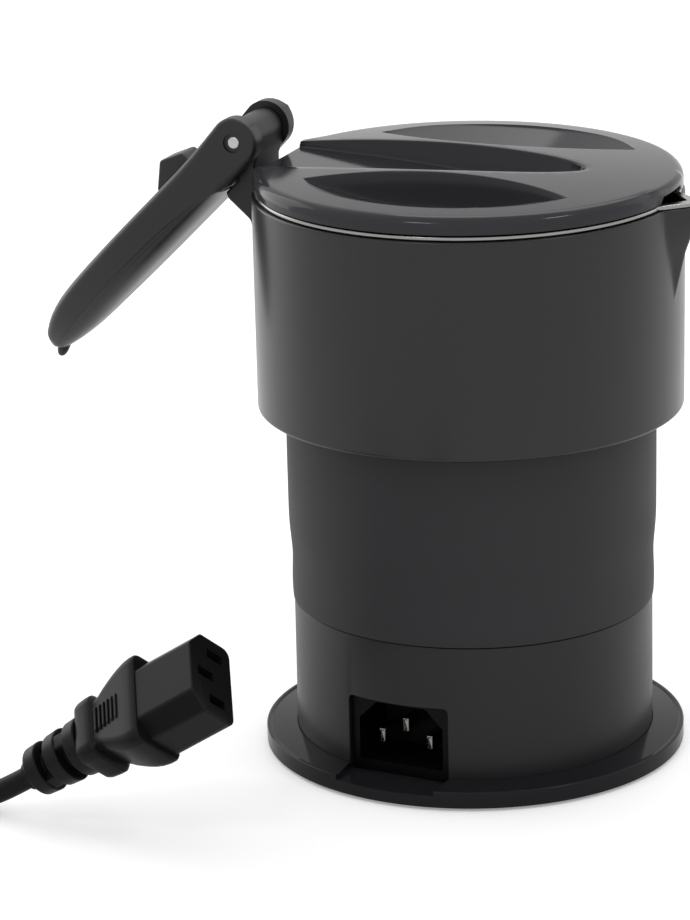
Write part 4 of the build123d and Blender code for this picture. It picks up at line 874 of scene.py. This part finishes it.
def lid_shell(edge):
    """The lid's skin: a dome between its outline, the groove and the scoops, and a rounded edge
    and skirt carried round the outline, raised over the beak."""
    arc, soft = lid_outline(edge)
    groove, groove_points = groove_shell()
    rim = groove_points[0, :, :2]
    share = np.linspace(0, 1, 6)[1:-1, None]
    stub_in = arc[-1] * (1 - share) + rim[0] * share
    stub_out = rim[-1] * (1 - share) + arc[0] * share
    near, near_loop = scoop_shell(-1)
    far, far_loop = scoop_shell(1)
    loop = np.vstack([arc, stub_in, rim, stub_out])
    top = lid_top(loop, [near_loop, far_loop], LID_R - edge)
    section = np.vstack([groove_points[:, 0], groove_points[::-1, -1][1:]])
    top_row = np.vstack([on_dome(arc), on_dome(stub_in), section, on_dome(stub_out)])
    straight = len(top_row) - len(arc)
    out = np.vstack([arc / (LID_R - soft)[:, None], np.tile([-1.0, 0.0], (straight, 1))])
    size = np.concatenate([soft, np.full(straight, CHORD_EDGE)])
    rows = [np.column_stack([top_row[:, :2] + out * (size * math.sin(turn))[:, None],
                             top_row[:, 2] - size * (1 - math.cos(turn))])
            for turn in np.linspace(0, math.pi / 2, 8)]
    wall = rows[-1]
    lift = np.clip((SKIRT_LIFT_HALF - np.abs(wall[:, 1])) / SKIRT_LIFT_FADE, 0, 1)
    lift = SKIRT_LIFT * lift * (wall[:, 0] > 0)
    for share in (0.06, 0.5, 0.94, 1.0):
        height = wall[:, 2] * (1 - share) + (LID_LOW_Z + lift) * share
        rows.append(np.column_stack([wall[:, :2], height]))
    return joined(top, near, far, groove, grid(np.array(rows), wrap_cols=True))


class KETTLE_OT_lid(Operator):
    """Lid cover: a dome with two finger scoops, the handle's groove and a rounded skirt"""

    bl_idname = "kettle.lid"
    bl_label = "Lid"

    def execute(self, context):
        edge = context.scene.kettle_sizes.lid_edge / MM
        lid = make_piece("lid_skin", lid_shell(edge), "lid", FINISHES["lid"],
                         ["lid_cover"], open_shell=True, smooth_angle=60)
        if sum(face.normal.z * face.area for face in lid.data.polygons) < 0:
            lid.data.flip_normals()
        skin = lid.modifiers.new("skin", "SOLIDIFY")
        skin.thickness = LID_SKIN * MM
        skin.offset = -1
        return {"FINISHED"}


# Foot: its section, and the notch before the inlet in plan, outwards and sideways
FOOT_SECTION = [(0.0, 0.8), (57.0, 0.8), (57.0, 5.1), (56.7, 5.4), (55.9, 5.4), (55.6, 5.1),
                (48.6, 6.0), (48.6, 4.0), (0.0, 4.0)]
NOTCH = [(46.0, 14.7), (60.0, 14.2), (60.0, -14.2), (46.0, -14.7)]
NOTCH_Z = (4.2, 8.0)

# Drum and inlet: sideways and up, across the way out
DRUM_R, DRUM_IN_R = 48.5, 46.1
DRUM_CUT = (40.0, 52.0)
HOLES = {"power_button": 5.55, "indicator_lens": 1.85}
INLET_TURN = math.radians(5.6)
INLET_OUT = np.array([-math.sin(INLET_TURN), -math.cos(INLET_TURN), 0])
INLET_SIDE = np.array([math.cos(INLET_TURN), -math.sin(INLET_TURN), 0])
INLET_AXES = (INLET_SIDE, UP, INLET_OUT)
INLET_Z = 15.4
WINDOW = (-14.6, 14.6, -14.0, 10.0)
INLET_FRONT = (-14.45, 14.45, 4.15, 25.25)
INLET_DEPTH, HOLLOW_DEPTH, BLADE_DEPTH = (27.3, 44.8), (29.3, 46.0), (21.5, 42.2)
INLET_HOLLOW = [(-12.25, 7.15), (12.25, 7.15), (12.25, 18.65), (7.25, 23.65), (-7.25, 23.65),
                (-12.25, 18.65)]
BLADE = (-1.0, 1.0, -2.0, 2.0)
BLADE_PLACES = ((-7.0, -2.0), (0.0, 2.0), (7.0, -2.0))


class KETTLE_OT_foot(Operator):
    """Foot plate with its fine lip, lowered before the inlet, the drum on it, and the inlet"""

    bl_idname = "kettle.foot"
    bl_label = "Foot and drum"

    def execute(self, context):
        sizes = context.scene.kettle_sizes
        around = full_turn(sizes.segments)
        lip = sizes.plate_edge / MM
        edges = [0, lip, lip / 2, lip / 3, lip / 3, lip / 3, 0.1, 0.1, 0]
        plate = turned(rounded(FOOT_SECTION, edges, steps=4), around, closed=False)
        notch = cutter(NOTCH, *NOTCH_Z, ORIGIN, (INLET_OUT, INLET_SIDE, UP))
        make_piece("foot_plate", carved(plate, [notch], edge=0.22), "base", FINISHES["foot_gloss"],
                   ["base_plate"])
        low, high = (corner.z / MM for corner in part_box("base_housing"))
        section = [(DRUM_IN_R, low), (DRUM_R, low), (DRUM_R, high), (DRUM_IN_R, high)]
        drum = turned(rounded(section, [0.2, 0.2, sizes.drum_edge / MM, 0.3]), around)
        window = box_outline(*WINDOW, [0, 0, 1.5, 1.5])
        cuts = [cutter(window, *DRUM_CUT, (0, 0, INLET_Z), INLET_AXES)]
        for node, radius in HOLES.items():
            lowest, highest = (np.array(corner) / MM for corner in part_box(node))
            middle = (lowest + highest) / 2 * [1, 0, 1]
            cuts.append(cutter(circle(radius), *DRUM_CUT, middle, ((-1, 0, 0), UP, SIDE)))
        make_piece("drum", carved(drum, cuts, edge=0.35), "base", FINISHES["satin"],
                   ["base_housing"])
        front = box_outline(*INLET_FRONT, [0.2, 0.2, 1.4, 1.4])
        body = prism(front, *INLET_DEPTH, 0.2, ORIGIN, *INLET_AXES)
        outline = rounded(INLET_HOLLOW, 0.6, support=0)
        hollow = cutter(outline, *HOLLOW_DEPTH, ORIGIN, INLET_AXES)
        make_piece("inlet_skin", carved(body, [hollow], edge=0.25), "base", FINISHES["inlet"],
                   ["inlet_body"])
        blade = box_outline(*BLADE, 0.35)
        places = [INLET_SIDE * across + UP * (INLET_Z + rise) for across, rise in BLADE_PLACES]
        blades = [prism(blade, *BLADE_DEPTH, 0.75, place, *INLET_AXES) for place in places]
        make_piece("inlet_blades", joined(*blades), "base", FINISHES["blade"],
                   ["inlet_pins"])
        return {"FINISHED"}


# Handle, in its own frame: s out from the pin, y sideways, t across. The tables go along s:
# half the width, the top, the bottom, and the crease between frame and underside
REST = math.radians(45)
HANDLE_S = np.array([-math.cos(REST), 0, -math.sin(REST)])
HANDLE_T = np.array([-math.sin(REST), 0, math.cos(REST)])
HANDLE_AXES = (HANDLE_S, SIDE, HANDLE_T)
HANDLE_PLAN = [(-7, 14.0), (0, 14.0), (30, 14.0), (47, 13.95), (61.5, 12.1), (73, 9.6),
               (81, 6.9), (86.3, 4.2), (88.8, 2.2)]
HANDLE_OVER = [(0, 6.7), (6, 6.2), (14, 5.7), (50, 5.7), (70, 5.5), (79.5, 4.3), (86.3, 2.2),
               (88.8, 0.4)]
HANDLE_UNDER = [(0, 6.7), (6, 6.9), (14, 7.0), (50, 7.0), (72, 6.9), (80, 6.2), (86.3, 4.9),
                (88.8, 3.9)]
CREASE = [(0, 0.0), (11, 0.0), (13, 0.8), (20, 3.0), (34, 4.6), (60, 4.9), (80, 4.3),
          (88.8, 2.6)]
CREASE_START, CREASE_DEPTH = 12.3, 12.7
EYE_R = 6.7
TIP_START, TIP_LEN = 86.4, 2.42
FORK = (-20, 9.6, -9.3, 9.3)
LATCH_WAY = (17.2, 33.4, -5.1, 5.1)
LATCH_SIDE = [(17.6, 3.0), (30.6, 3.0), (30.6, 7.0), (24.2, 12.1), (17.6, 9.3)]
LATCH_HALF = 4.8
PIN_HEAD_R = 2.6
PIN_HEAD_FROM, PIN_HEAD_TO = 13.2, 16
# The nub: its middle, its half length and its half widths
NUB_S, NUB_T = 86.3, -3.6
NUB_LEN, NUB_R, NUB_WIDE = 4.3, 1.75, 1.9


def along_handle(table, s):
    """A value along the handle, from a table of corners with its turns cut off."""
    knots = softened(table, 2)
    return np.interp(s, knots[:, 0], knots[:, 1])


def from_handle(s, y, t):
    """Handle coordinates in the kettle's frame."""
    s, y, t = (np.asarray(value, float)[..., None] for value in np.broadcast_arrays(s, y, t))
    return PIN + s * HANDLE_S + y * SIDE + t * HANDLE_T


def handle_stations():
    """Places along the handle: close together round the eye and the tip."""
    eye = -EYE_R * np.cos(np.linspace(0.12, math.pi / 2, 14))
    neck, grip = np.linspace(1, 12, 8)[:-1], np.linspace(12, 84.8, 50)[:-1]
    tip = 84.8 + 4.0 * np.sin(np.linspace(0, math.pi / 2 - 0.1, 12))
    return np.concatenate([eye, neck, grip, tip])


def handle_size(s):
    """Half width, top and bottom at s: the eye's circle before the pin, the tables after it, and
    a round tip."""
    eye = np.sqrt(np.maximum(EYE_R**2 - np.minimum(s, 0) ** 2, 0.01))
    over = np.where(s < 0, eye, along_handle(HANDLE_OVER, s))
    under = np.where(s < 0, eye, along_handle(HANDLE_UNDER, s))
    half = along_handle(HANDLE_PLAN, s)
    tip = np.sqrt(np.maximum(1 - (np.maximum(s - TIP_START, 0) / TIP_LEN) ** 2, 0.02))
    middle = (over - under) / 2
    over, under = middle + (over - middle) * tip, (under + middle) * tip - middle
    return half * (0.35 + 0.65 * tip), over, under


def nub_shell():
    """The rounded nub under the tip: an ellipsoid along a line that leaves the tip downwards."""
    around = full_turn(32)
    along = np.linspace(0, math.pi, 17)[:, None]
    reach = -NUB_LEN * np.cos(along) * np.ones_like(around)
    wide = np.sin(along) ** 0.8
    s = NUB_S + reach * 0.80 + NUB_R * wide * np.cos(around) * 0.60
    t = NUB_T - reach * 0.42 + NUB_R * wide * np.cos(around) * 0.80
    y = NUB_WIDE * wide * np.sin(around)
    return grid(from_handle(s, y, t), wrap_cols=True, caps=True)


class KETTLE_OT_handle(Operator):
    """Handle: a forked frame with soft edges and a nub, a glossy underside, and the latch"""

    bl_idname = "kettle.handle"
    bl_label = "Handle"

    def execute(self, context):
        edge = context.scene.kettle_sizes.handle_edge / MM
        s = handle_stations()
        half, over, under = handle_size(s)
        crease = np.where(s < CREASE_START, 0, along_handle(CREASE, s))
        crease = crease * (over + under) / CREASE_DEPTH - under
        rows = []
        for place, wide, top, low in zip(s, half, over, crease):
            soft = edge * np.interp(place, [-6, 4, 20], [0.5, 0.6, 1.0])
            low_soft = np.interp(place, [0, 12.2, 12.4], [soft, soft, 0.25])
            outline = rounded([(wide, low), (wide, top), (-wide, top), (-wide, low)],
                              [low_soft, soft, soft, low_soft], steps=6, support=0.2)
            rows.append(from_handle(place, *outline.T))
        frame_shell = grid(np.array(rows), wrap_cols=True, caps=True)
        fork = cutter(box_outline(*FORK, [0, 1.2, 1.2, 0]), -20, 20, PIN, HANDLE_AXES)
        heads = [rod(PIN + SIDE * y * PIN_HEAD_FROM, PIN + SIDE * y * PIN_HEAD_TO, PIN_HEAD_R,
                     SHARP) for y in (-1, 1)]
        way = cutter(box_outline(*LATCH_WAY, 0.5), 1.0, 12, PIN, HANDLE_AXES)
        body = carved(frame_shell, [fork, *heads, way], edge=0.45, angle=38)
        make_piece("handle_skin", joined(body, nub_shell()), "handle", FINISHES["handle"],
                   ["handle_frame"], smooth_angle=50)
        turn = np.linspace(0, math.pi / 2, 13)
        rows = []
        for number in np.flatnonzero((s > 12.6) & (s < 88.2)):
            wide, top = half[number] - 0.25, crease[number] + 0.5
            across = wide - min(9.0, 0.8 * wide) * (1 - np.cos(turn))
            down = top - (top + under[number]) * np.sin(turn)
            across, down = np.append(across, -across[::-1]), np.append(down, down[::-1])
            rows.append(from_handle(s[number], across, down))
        underside = grid(np.array(rows), wrap_cols=True, caps=True)
        make_piece("handle_underside", underside, "handle", FINISHES["underside"],
                   ["handle_cover"], smooth_angle=50)
        side = rounded(LATCH_SIDE, [0, 0, 0.9, 1.2, 1.4])
        button = prism(side, -LATCH_HALF, LATCH_HALF, 0.7, PIN, HANDLE_S, HANDLE_T, SIDE)
        make_piece("latch_skin", button, "latch", FINISHES["handle"],
                   ["latch_button"])
        return {"FINISHED"}


# Bracket, from the side in x and z: its outline under the barrel, and the pocket in its gusset
BARREL_R = 5.0
BRACKET = [(-65.2, 157.8), (-61.9, 154.2), (-66.0, 150.1), (-65.2, 148.4), (-59.0, 143.0),
           (-57.4, 134.6), (-57.4, 158.0), (-56.4, 161.0)]
BRACKET_ROUNDING = [0, 1.0, 0.8, 0.8, 3.0, 0.3, 0, 0]
BRACKET_HALF = 8.9
BRACKET_AXES = ((1, 0, 0), UP, SIDE)
POCKET = (-75, -60.4, 130, 151.2)
POCKET_HALF = 5.4
PIN_HALF, PIN_R = 13.4, 1.9


class KETTLE_OT_bracket(Operator):
    """Hinge bracket: the barrel, its neck and a gusset with a pocket under it, and the pin"""

    bl_idname = "kettle.bracket"
    bl_label = "Hinge bracket"

    def execute(self, context):
        edge = context.scene.kettle_sizes.bracket_edge / MM
        angle = np.radians(np.arange(-14, 226, 8))
        barrel = PIN[[0, 2]] + BARREL_R * np.stack([np.cos(angle), np.sin(angle)], -1)
        outline = np.vstack([barrel, rounded(BRACKET, BRACKET_ROUNDING, closed=False)])
        block = prism(outline, -BRACKET_HALF, BRACKET_HALF, edge, ORIGIN, *BRACKET_AXES)
        pocket = cutter(box_outline(*POCKET, [0, 0, 1.0, 0]), -POCKET_HALF, POCKET_HALF, ORIGIN,
                        BRACKET_AXES)
        shell = rod((0, 0, 130), (0, 0, 158.3), SHELL_R + 0.05, SHARP, 192)
        make_piece("bracket_skin", carved(block, [pocket, shell], edge=0.3), "upper",
                   FINISHES["satin"], ["hinge_bracket"], smooth_angle=45)
        pin = rod(PIN - PIN_HALF * SIDE, PIN + PIN_HALF * SIDE, PIN_R, 0.7)
        make_piece("pin_skin", pin, "upper", FINISHES["steel"], ["hinge_pin"],
                   smooth_angle=60)
        return {"FINISHED"}


# Connector: the middle of its face, and its own directions
TILT = math.radians(32.55)
HEADING = math.radians(-0.35)
ROLL = math.radians(132.66)
FACE = np.array([-36.0, -95.2, 45.7])
AHEAD = np.array([math.cos(HEADING) * math.cos(TILT), math.sin(HEADING) * math.cos(TILT),
                  math.sin(TILT)])
LEFT = np.array([-math.sin(HEADING), math.cos(HEADING), 0])
WAY = LEFT * math.cos(ROLL) + np.cross(AHEAD, LEFT) * math.sin(ROLL)
WIDE = np.cross(AHEAD, WAY)
CONNECTOR_AXES = (WAY, WIDE, AHEAD)
NOSE = [(3.4, 12.0), (8.0, 7.4), (8.0, -7.4), (3.4, -12.0), (-8.0, -12.0), (-8.0, 12.0)]
NOSE_ROUNDING = [1.3, 1.3, 1.3, 1.3, 2.6, 2.6]
NOSE_LEN = 24.0
SLOTS = ((-1.6, -7.0), (2.4, 0.0), (-1.6, 7.0))
SLOT_HALF_WAY, SLOT_HALF_WIDE = 2.9, 1.35
SLOT_DEPTH = (-14, 2)
# The grip, by distance behind the face: half its height, half its width, corner radius
GRIP = [(18.6, 7.7, 12.4, 2.2), (18.8, 8.3, 13.2, 2.8), (19.3, 8.6, 13.6, 3.2),
        (21.0, 8.6, 13.7, 3.4), (23.0, 8.4, 13.4, 3.3), (25.0, 8.1, 12.8, 3.2),
        (27.0, 7.8, 11.9, 3.0), (29.0, 7.5, 10.8, 2.8), (31.0, 7.2, 9.6, 2.6),
        (32.6, 6.9, 8.5, 2.5), (33.8, 6.8, 7.9, 2.5), (34.4, 6.9, 7.9, 2.6),
        (34.8, 7.4, 8.8, 3.0), (35.4, 7.7, 9.5, 3.3), (37.0, 7.7, 9.6, 3.4),
        (39.4, 7.5, 9.4, 3.4), (40.5, 7.2, 9.0, 3.2), (41.0, 6.6, 8.2, 3.0)]
GRIP_END = 41.0
# The grip's ribs: distance of the first behind the face, pitch, number, half length, thickness
RIB_START, RIB_PITCH, RIB_COUNT, RIB_HALF, RIB_T = 25.3, 1.55, 6, 3.9, 0.75
# Webs of the strain relief: from, to, outer radius, and whether they stand the wide way
WEBS = ((3.6, 7.6, 7.0, False), (10.9, 14.8, 6.5, True), (-0.5, 0.6, 7.4, True))
PLUG = np.array([-20.0, -228.0, 18.3])
PLUG_AHEAD = np.array([1.0, 0, 0])
PLUG_SIDE = [(22, 0.01), (22, 10.5), (41, 16.9), (41, 18), (49, 18), (49, 0.01)]
BORE_R = 3.9


def boot_profile(length, big, small, rings):
    """Rings that shrink towards the cord, with rounded edges, on a plain core."""
    pitch = length / rings
    points = []
    for number in range(rings):
        radius = big - (big - small) * number / rings
        start, end = number * pitch, (number + 0.62) * pitch
        points += [(start, BORE_R), (start, radius - 0.3), (start + 0.3, radius),
                   (end - 0.5, radius - 0.3), (end, radius - 0.9), (end, BORE_R)]
    return rounded(points + [(length, BORE_R)], 0.25, steps=3, closed=False, support=0.05)


def webs(start, along):
    """The webs that join neighbouring rings of the connector's strain relief."""
    shells = []
    for low, high, radius, wide_way in WEBS:
        across, up = (WIDE, WAY) if wide_way else (WAY, WIDE)
        for side in (-1, 1):
            web = box_outline(-3.0, 3.0, -2.1, 2.1, 0.5) + [side * (radius - 3.0), 0]
            shells.append(prism(web, low, high, 0.2, start, across, up, along, steps=2))
    return shells


class KETTLE_OT_connector(Operator):
    """Connector with its slots, winged grip and strain relief, and the plug with its own"""

    bl_idname = "kettle.connector"
    bl_label = "Connector and plug"

    def execute(self, context):
        edge = context.scene.kettle_sizes.connector_edge / MM
        nose = prism(rounded(NOSE, NOSE_ROUNDING), -NOSE_LEN, 0.0, edge, FACE, *CONNECTOR_AXES)
        slots = []
        for x, y in SLOTS:
            slot = box_outline(x - SLOT_HALF_WAY, x + SLOT_HALF_WAY, y - SLOT_HALF_WIDE,
                               y + SLOT_HALF_WIDE, 0.3)
            slots.append(cutter(slot, *SLOT_DEPTH, FACE, CONNECTOR_AXES))
        nose = carved(nose, slots, edge=0.18, steps=2, angle=40)
        rows = []
        for back, way, wide, radius in GRIP:
            corners = [(way, wide), (-way, wide), (-way, -wide), (way, -wide)]
            outline = rounded(corners, radius, steps=6)
            rows.append(FACE - AHEAD * back + outline[:, :1] * WAY + outline[:, 1:] * WIDE)
        grip = grid(np.array(rows), wrap_cols=True, caps=True)
        ribs = []
        for back in RIB_START + RIB_PITCH * np.arange(RIB_COUNT):
            way = np.interp(back, [19, 26, 34.6], [8.5, 7.8, 6.7]) + 0.55
            bar = rounded([(way, RIB_HALF), (-way, RIB_HALF), (-way, -RIB_HALF), (way, -RIB_HALF)],
                          0.6, steps=3)
            ribs.append(prism(bar, -back - RIB_T, -back, 0.25, FACE, *CONNECTOR_AXES, steps=2))
        make_piece("connector_skin", joined(nose, grip, *ribs), "base", FINISHES["connector"],
                   ["connector_body"], smooth_angle=35)
        start = FACE - AHEAD * GRIP_END
        relief = lathe_along(start, -AHEAD, boot_profile(21.7, 7.9, 6.6, rings=3))
        make_piece("connector_relief", joined(relief, *webs(start, -AHEAD)), "base",
                   FINISHES["connector"], ["connector_boot"], smooth_angle=35)
        profile = boot_profile(22, 7, 4.4, rings=4)
        relief = lathe_along(PLUG + 22 * PLUG_AHEAD, -PLUG_AHEAD, profile)
        make_piece("plug_relief", relief, "base", FINISHES["connector"],
                   ["plug_boot"], smooth_angle=35)
        side = rounded(PLUG_SIDE, [0, 1.2, 1.5, 0.5, 1.4, 0], steps=4, closed=False)
        make_piece("plug_skin", lathe_along(PLUG, PLUG_AHEAD, side, 72), "base",
                   FINISHES["connector"], ["plug_body"], smooth_angle=35)
        return {"FINISHED"}


# Mains lead: control points from the connector's boot to the coil, and from it to the plug
LEAD = [
    (-88.26, -94.88, 12.34), (-95.85, -94.83, 7.5), (-102.8, -94.8, 4.3), (-110.4, -94.7, 3.3),
    (-120.3, -96.5, 3.3), (-129.8, -102.2, 3.3), (-136.4, -111.0, 3.3), (-139.3, -121.7, 3.3),
    (-139.0, -136.7, 3.1), (-138.5, -153.7, 3.1), (-138.1, -170.7, 3.4), (-138.0, -182.0, 4.3),
    (-138.0, -197.0, 4.7),
]
TAIL = [
    (-96.0, -240.725, 11.3), (-80.0, -240.5, 11.3), (-67.5, -238.0, 13.4), (-55.0, -232.8, 16.9),
    (-43.0, -228.8, 18.3), (-31.0, -228.0, 18.3), (-20.0, -228.0, 18.3),
]
COIL_X, COIL_Y = -102.0, -203.0
COIL_R = 36.0
COIL_PITCH = 6.9
COIL_LOW_Z, COIL_LAYER = 4.7, 6.6
LOW_TURNS, CLIMB_TURNS, HIGH_TURNS = 1.75, 0.5, 2.0


def coil_points(per_turn=14):
    """Control points of the coil: a spiral in on the lower layer, half a turn that climbs, and a
    spiral out above. A control point of such a spline stands outside its line, by
    1 / cos(half a step) on average."""
    total = LOW_TURNS + CLIMB_TURNS + HIGH_TURNS
    part = np.linspace(0, total, int(total * per_turn) + 1)
    climb = np.clip((part - LOW_TURNS) / CLIMB_TURNS, 0, 1)
    inner = COIL_R - COIL_PITCH * LOW_TURNS
    out = inner + COIL_PITCH * np.maximum(0, part - LOW_TURNS - CLIMB_TURNS)
    radius = np.where(part <= LOW_TURNS, COIL_R - COIL_PITCH * part, out)
    radius = radius - 0.5 * COIL_PITCH * (climb - climb**2)
    height = COIL_LOW_Z + COIL_LAYER * (1 - np.cos(math.pi * climb)) / 2
    angle = math.pi + TURN * part
    grow = 1 + 0.5 * (1 / math.cos(math.pi / per_turn) - 1)
    x = COIL_X + grow * radius * np.cos(angle)
    y = COIL_Y + grow * radius * np.sin(angle)
    return np.stack([x, y, height], -1)


class KETTLE_OT_lead(Operator):
    """Mains lead: one cord from the connector's boot through the coil to the plug's boot"""

    bl_idname = "kettle.lead"
    bl_label = "Mains lead"

    def execute(self, context):
        diameter = context.scene.kettle_sizes.cord / MM
        points = np.vstack([LEAD, coil_points()[1:-1], TAIL]) * MM
        curve = bpy.data.curves.new("mains_cord", "CURVE")
        curve.dimensions = "3D"
        spline = curve.splines.new("NURBS")
        spline.points.add(len(points) - 1)
        spline.points.foreach_set("co", np.column_stack([points, np.ones(len(points))]).ravel())
        spline.order_u = 3
        spline.use_endpoint_u = True
        spline.resolution_u = 5
        curve.bevel_depth = diameter / 2 * MM
        curve.bevel_resolution = 5
        curve.use_fill_caps = True
        curve.materials.append(FINISHES["rubber"])
        cord = placed("mains_cord", curve)
        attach(cord, "base")
        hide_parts("cord_lead", "cord_coil", "cord_tail")
        on_it = [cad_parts[name] for name in ("connector_contacts", "cord_tie", "plug_pins")]
        skins = ("connector_skin", "connector_relief", "plug_relief", "plug_skin")
        on_it += [bpy.data.objects[name] for name in skins]
        return {"FINISHED"}


# Stage. Each lamp: place, target, which power, width and height, in metres
LAMPS = {
    "key_lamp": ((-1.1, 0.25, 0.35), (0, 0, 0.1), "key", 0.7, 1.3),
    "fill_lamp": ((0.86, 0.86, 0.35), (0, 0, 0.1), "fill", 0.6, 1.3),
    "left_spark": ((-0.16, -0.80, 1.05), (0, -0.05, 0.16), "spark", 0.24, 0.08),
    "right_spark": ((0.80, -0.14, 1.05), (0, -0.05, 0.16), "spark", 0.24, 0.08),
    "high_lamp": ((-0.077, 0.69, 1.03), (0.015, 0.033, 0.15), "high", 0.7, 0.52),
}
FLOOR_HALF = 2.0
CAMERA_PLACE = (385.3, -1035.8, 422.4)
CAMERA_AZIMUTH, CAMERA_ELEVATION, CAMERA_ROLL = 22.17, 17.24, 1.3


class KettleStage(PropertyGroup):
    """Light and floor."""

    floor: colour_property("Floor", "Plain pale floor", (0.86, 0.86, 0.86))
    sky: FloatProperty(name="Sky", description="Strength of the even light", default=0.95, min=0,
                       max=3)
    key: power_property("Key", "Power of the broad lamp on the left", 4.4)
    fill: power_property("Fill", "Power of the broad lamp on the right", 1.2)
    spark: power_property("Spark", "Power of each of the two small lamps in front", 1.0)
    high: power_property("High", "Power of the lamp high up behind", 1.8)
    glow: FloatProperty(name="Glow", description="How much whiter the camera alone sees the floor",
                        default=0.26, min=0, max=1)
    lens: FloatProperty(name="Lens", description="Focal length in millimetres", default=168.3,
                        min=10)


def area_lamp(name, place, target, power, width, height):
    """A soft lamp at a place, aimed at a target, both in metres."""
    light = bpy.data.lights.new(name, "AREA")
    light.shape = "RECTANGLE"
    light.size, light.size_y, light.energy = width, height, power
    lamp = placed(name, light)
    lamp.location = place
    aim = Vector(target) - Vector(place)
    lamp.rotation_euler = aim.to_track_quat("-Z", "Y").to_euler()


def make_floor(stage):
    """A plain floor, which the camera alone sees a little whiter, so that its shadow stays."""
    half = FLOOR_HALF
    corners = [(-half, -half, 0), (half, -half, 0), (half, half, 0), (-half, half, 0)]
    mesh = bpy.data.meshes.new("floor")
    mesh.from_pydata(corners, [], [[0, 1, 2, 3]])
    floor = placed("floor", mesh)
    finish, nodes, links, shader = new_finish("pale_floor")
    colour = tinted(nodes, links, noise(nodes, links, 3.0), stage.floor, 0.01)
    links.new(colour, shader.inputs["Base Color"])
    shader.inputs["Roughness"].default_value = 0.6
    shader.inputs["Specular IOR Level"].default_value = 0.2
    seen = nodes.new("ShaderNodeLightPath")
    glow = nodes.new("ShaderNodeMath")
    glow.operation = "MULTIPLY"
    glow.inputs[1].default_value = stage.glow
    links.new(seen.outputs["Is Camera Ray"], glow.inputs[0])
    shader.inputs["Emission Color"].default_value = (1, 1, 1, 1)
    links.new(glow.outputs["Value"], shader.inputs["Emission Strength"])
    mesh.materials.append(finish)


def make_world(stage):
    """Even white light, and plain white where the camera looks past the floor."""
    world = bpy.data.worlds.new("soft_light")
    world.use_nodes = True
    nodes, links = world.node_tree.nodes, world.node_tree.links
    nodes.clear()
    output = nodes.new("ShaderNodeOutputWorld")
    path = nodes.new("ShaderNodeLightPath")
    mix = nodes.new("ShaderNodeMixShader")
    for number, strength in ((1, stage.sky), (2, 1.0)):
        white = nodes.new("ShaderNodeBackground")
        white.inputs["Color"].default_value = (1, 1, 1, 1)
        white.inputs["Strength"].default_value = strength
        links.new(white.outputs["Background"], mix.inputs[number])
    links.new(path.outputs["Is Camera Ray"], mix.inputs["Fac"])
    links.new(mix.outputs["Shader"], output.inputs["Surface"])
    return world


def make_camera(stage):
    """The camera at the photograph's angle."""
    data = bpy.data.cameras.new("camera")
    data.lens = stage.lens
    data.clip_start, data.clip_end = 0.05, 20
    camera = placed("camera", data)
    azimuth, elevation = math.radians(CAMERA_AZIMUTH), math.radians(CAMERA_ELEVATION)
    back = Vector((math.sin(azimuth) * math.cos(elevation),
                   -math.cos(azimuth) * math.cos(elevation), math.sin(elevation)))
    roll = Matrix.Rotation(-math.radians(CAMERA_ROLL), 3, "Z")
    camera.rotation_euler = (back.to_track_quat("Z", "Y").to_matrix() @ roll).to_euler()
    camera.location = Vector(CAMERA_PLACE) * MM
    return camera


class KETTLE_OT_stage(Operator):
    """Pale floor, soft light, white background, and the camera at the photograph's angle"""

    bl_idname = "kettle.stage"
    bl_label = "Stage"

    def execute(self, context):
        scene = context.scene
        stage = scene.kettle_stage
        make_floor(stage)
        scene.world = make_world(stage)
        for name, (place, target, power, width, height) in LAMPS.items():
            area_lamp(name, place, target, getattr(stage, power), width, height)
        scene.camera = make_camera(stage)
        scene.view_settings.view_transform = "Standard"
        return {"FINISHED"}


STEPS = [
    KETTLE_OT_finishes, KETTLE_OT_stage, KETTLE_OT_connector, KETTLE_OT_lead, KETTLE_OT_foot,
    KETTLE_OT_wall, KETTLE_OT_shell, KETTLE_OT_lid, KETTLE_OT_bracket, KETTLE_OT_handle,
]


class KETTLE_PT_panel(Panel):
    """Lists the steps and their values"""

    bl_idname = "KETTLE_PT_panel"
    bl_label = "Travel Kettle"
    bl_space_type = "VIEW_3D"
    bl_region_type = "UI"
    bl_category = "Kettle"

    def draw(self, context):
        layout = self.layout
        for group in [getattr(context.scene, name) for name in GROUPS]:
            box = layout.box()
            for name in group.bl_rna.properties.keys():
                if name not in ("rna_type", "name"):
                    box.prop(group, name)
        for step in STEPS:
            layout.operator(step.bl_idname)


GROUPS = {
    "kettle_finishes": KettleFinishes,
    "kettle_sizes": KettleSizes,
    "kettle_stage": KettleStage,
}
CLASSES = (*GROUPS.values(), *STEPS, KETTLE_PT_panel)


def register():
    """Registers the classes and hangs the properties on the scene."""
    for cls in CLASSES:
        bpy.utils.register_class(cls)
    for name, group in GROUPS.items():
        setattr(bpy.types.Scene, name, PointerProperty(type=group))


def unregister():
    """Takes the properties and classes away again."""
    for name in GROUPS:
        delattr(bpy.types.Scene, name)
    for cls in reversed(CLASSES):
        bpy.utils.unregister_class(cls)


def main():
    """Builds everything in order."""
    register()
    for step in STEPS:
        group, name = step.bl_idname.split(".")
        getattr(getattr(bpy.ops, group), name)()


if __name__ == "__main__":
    main()
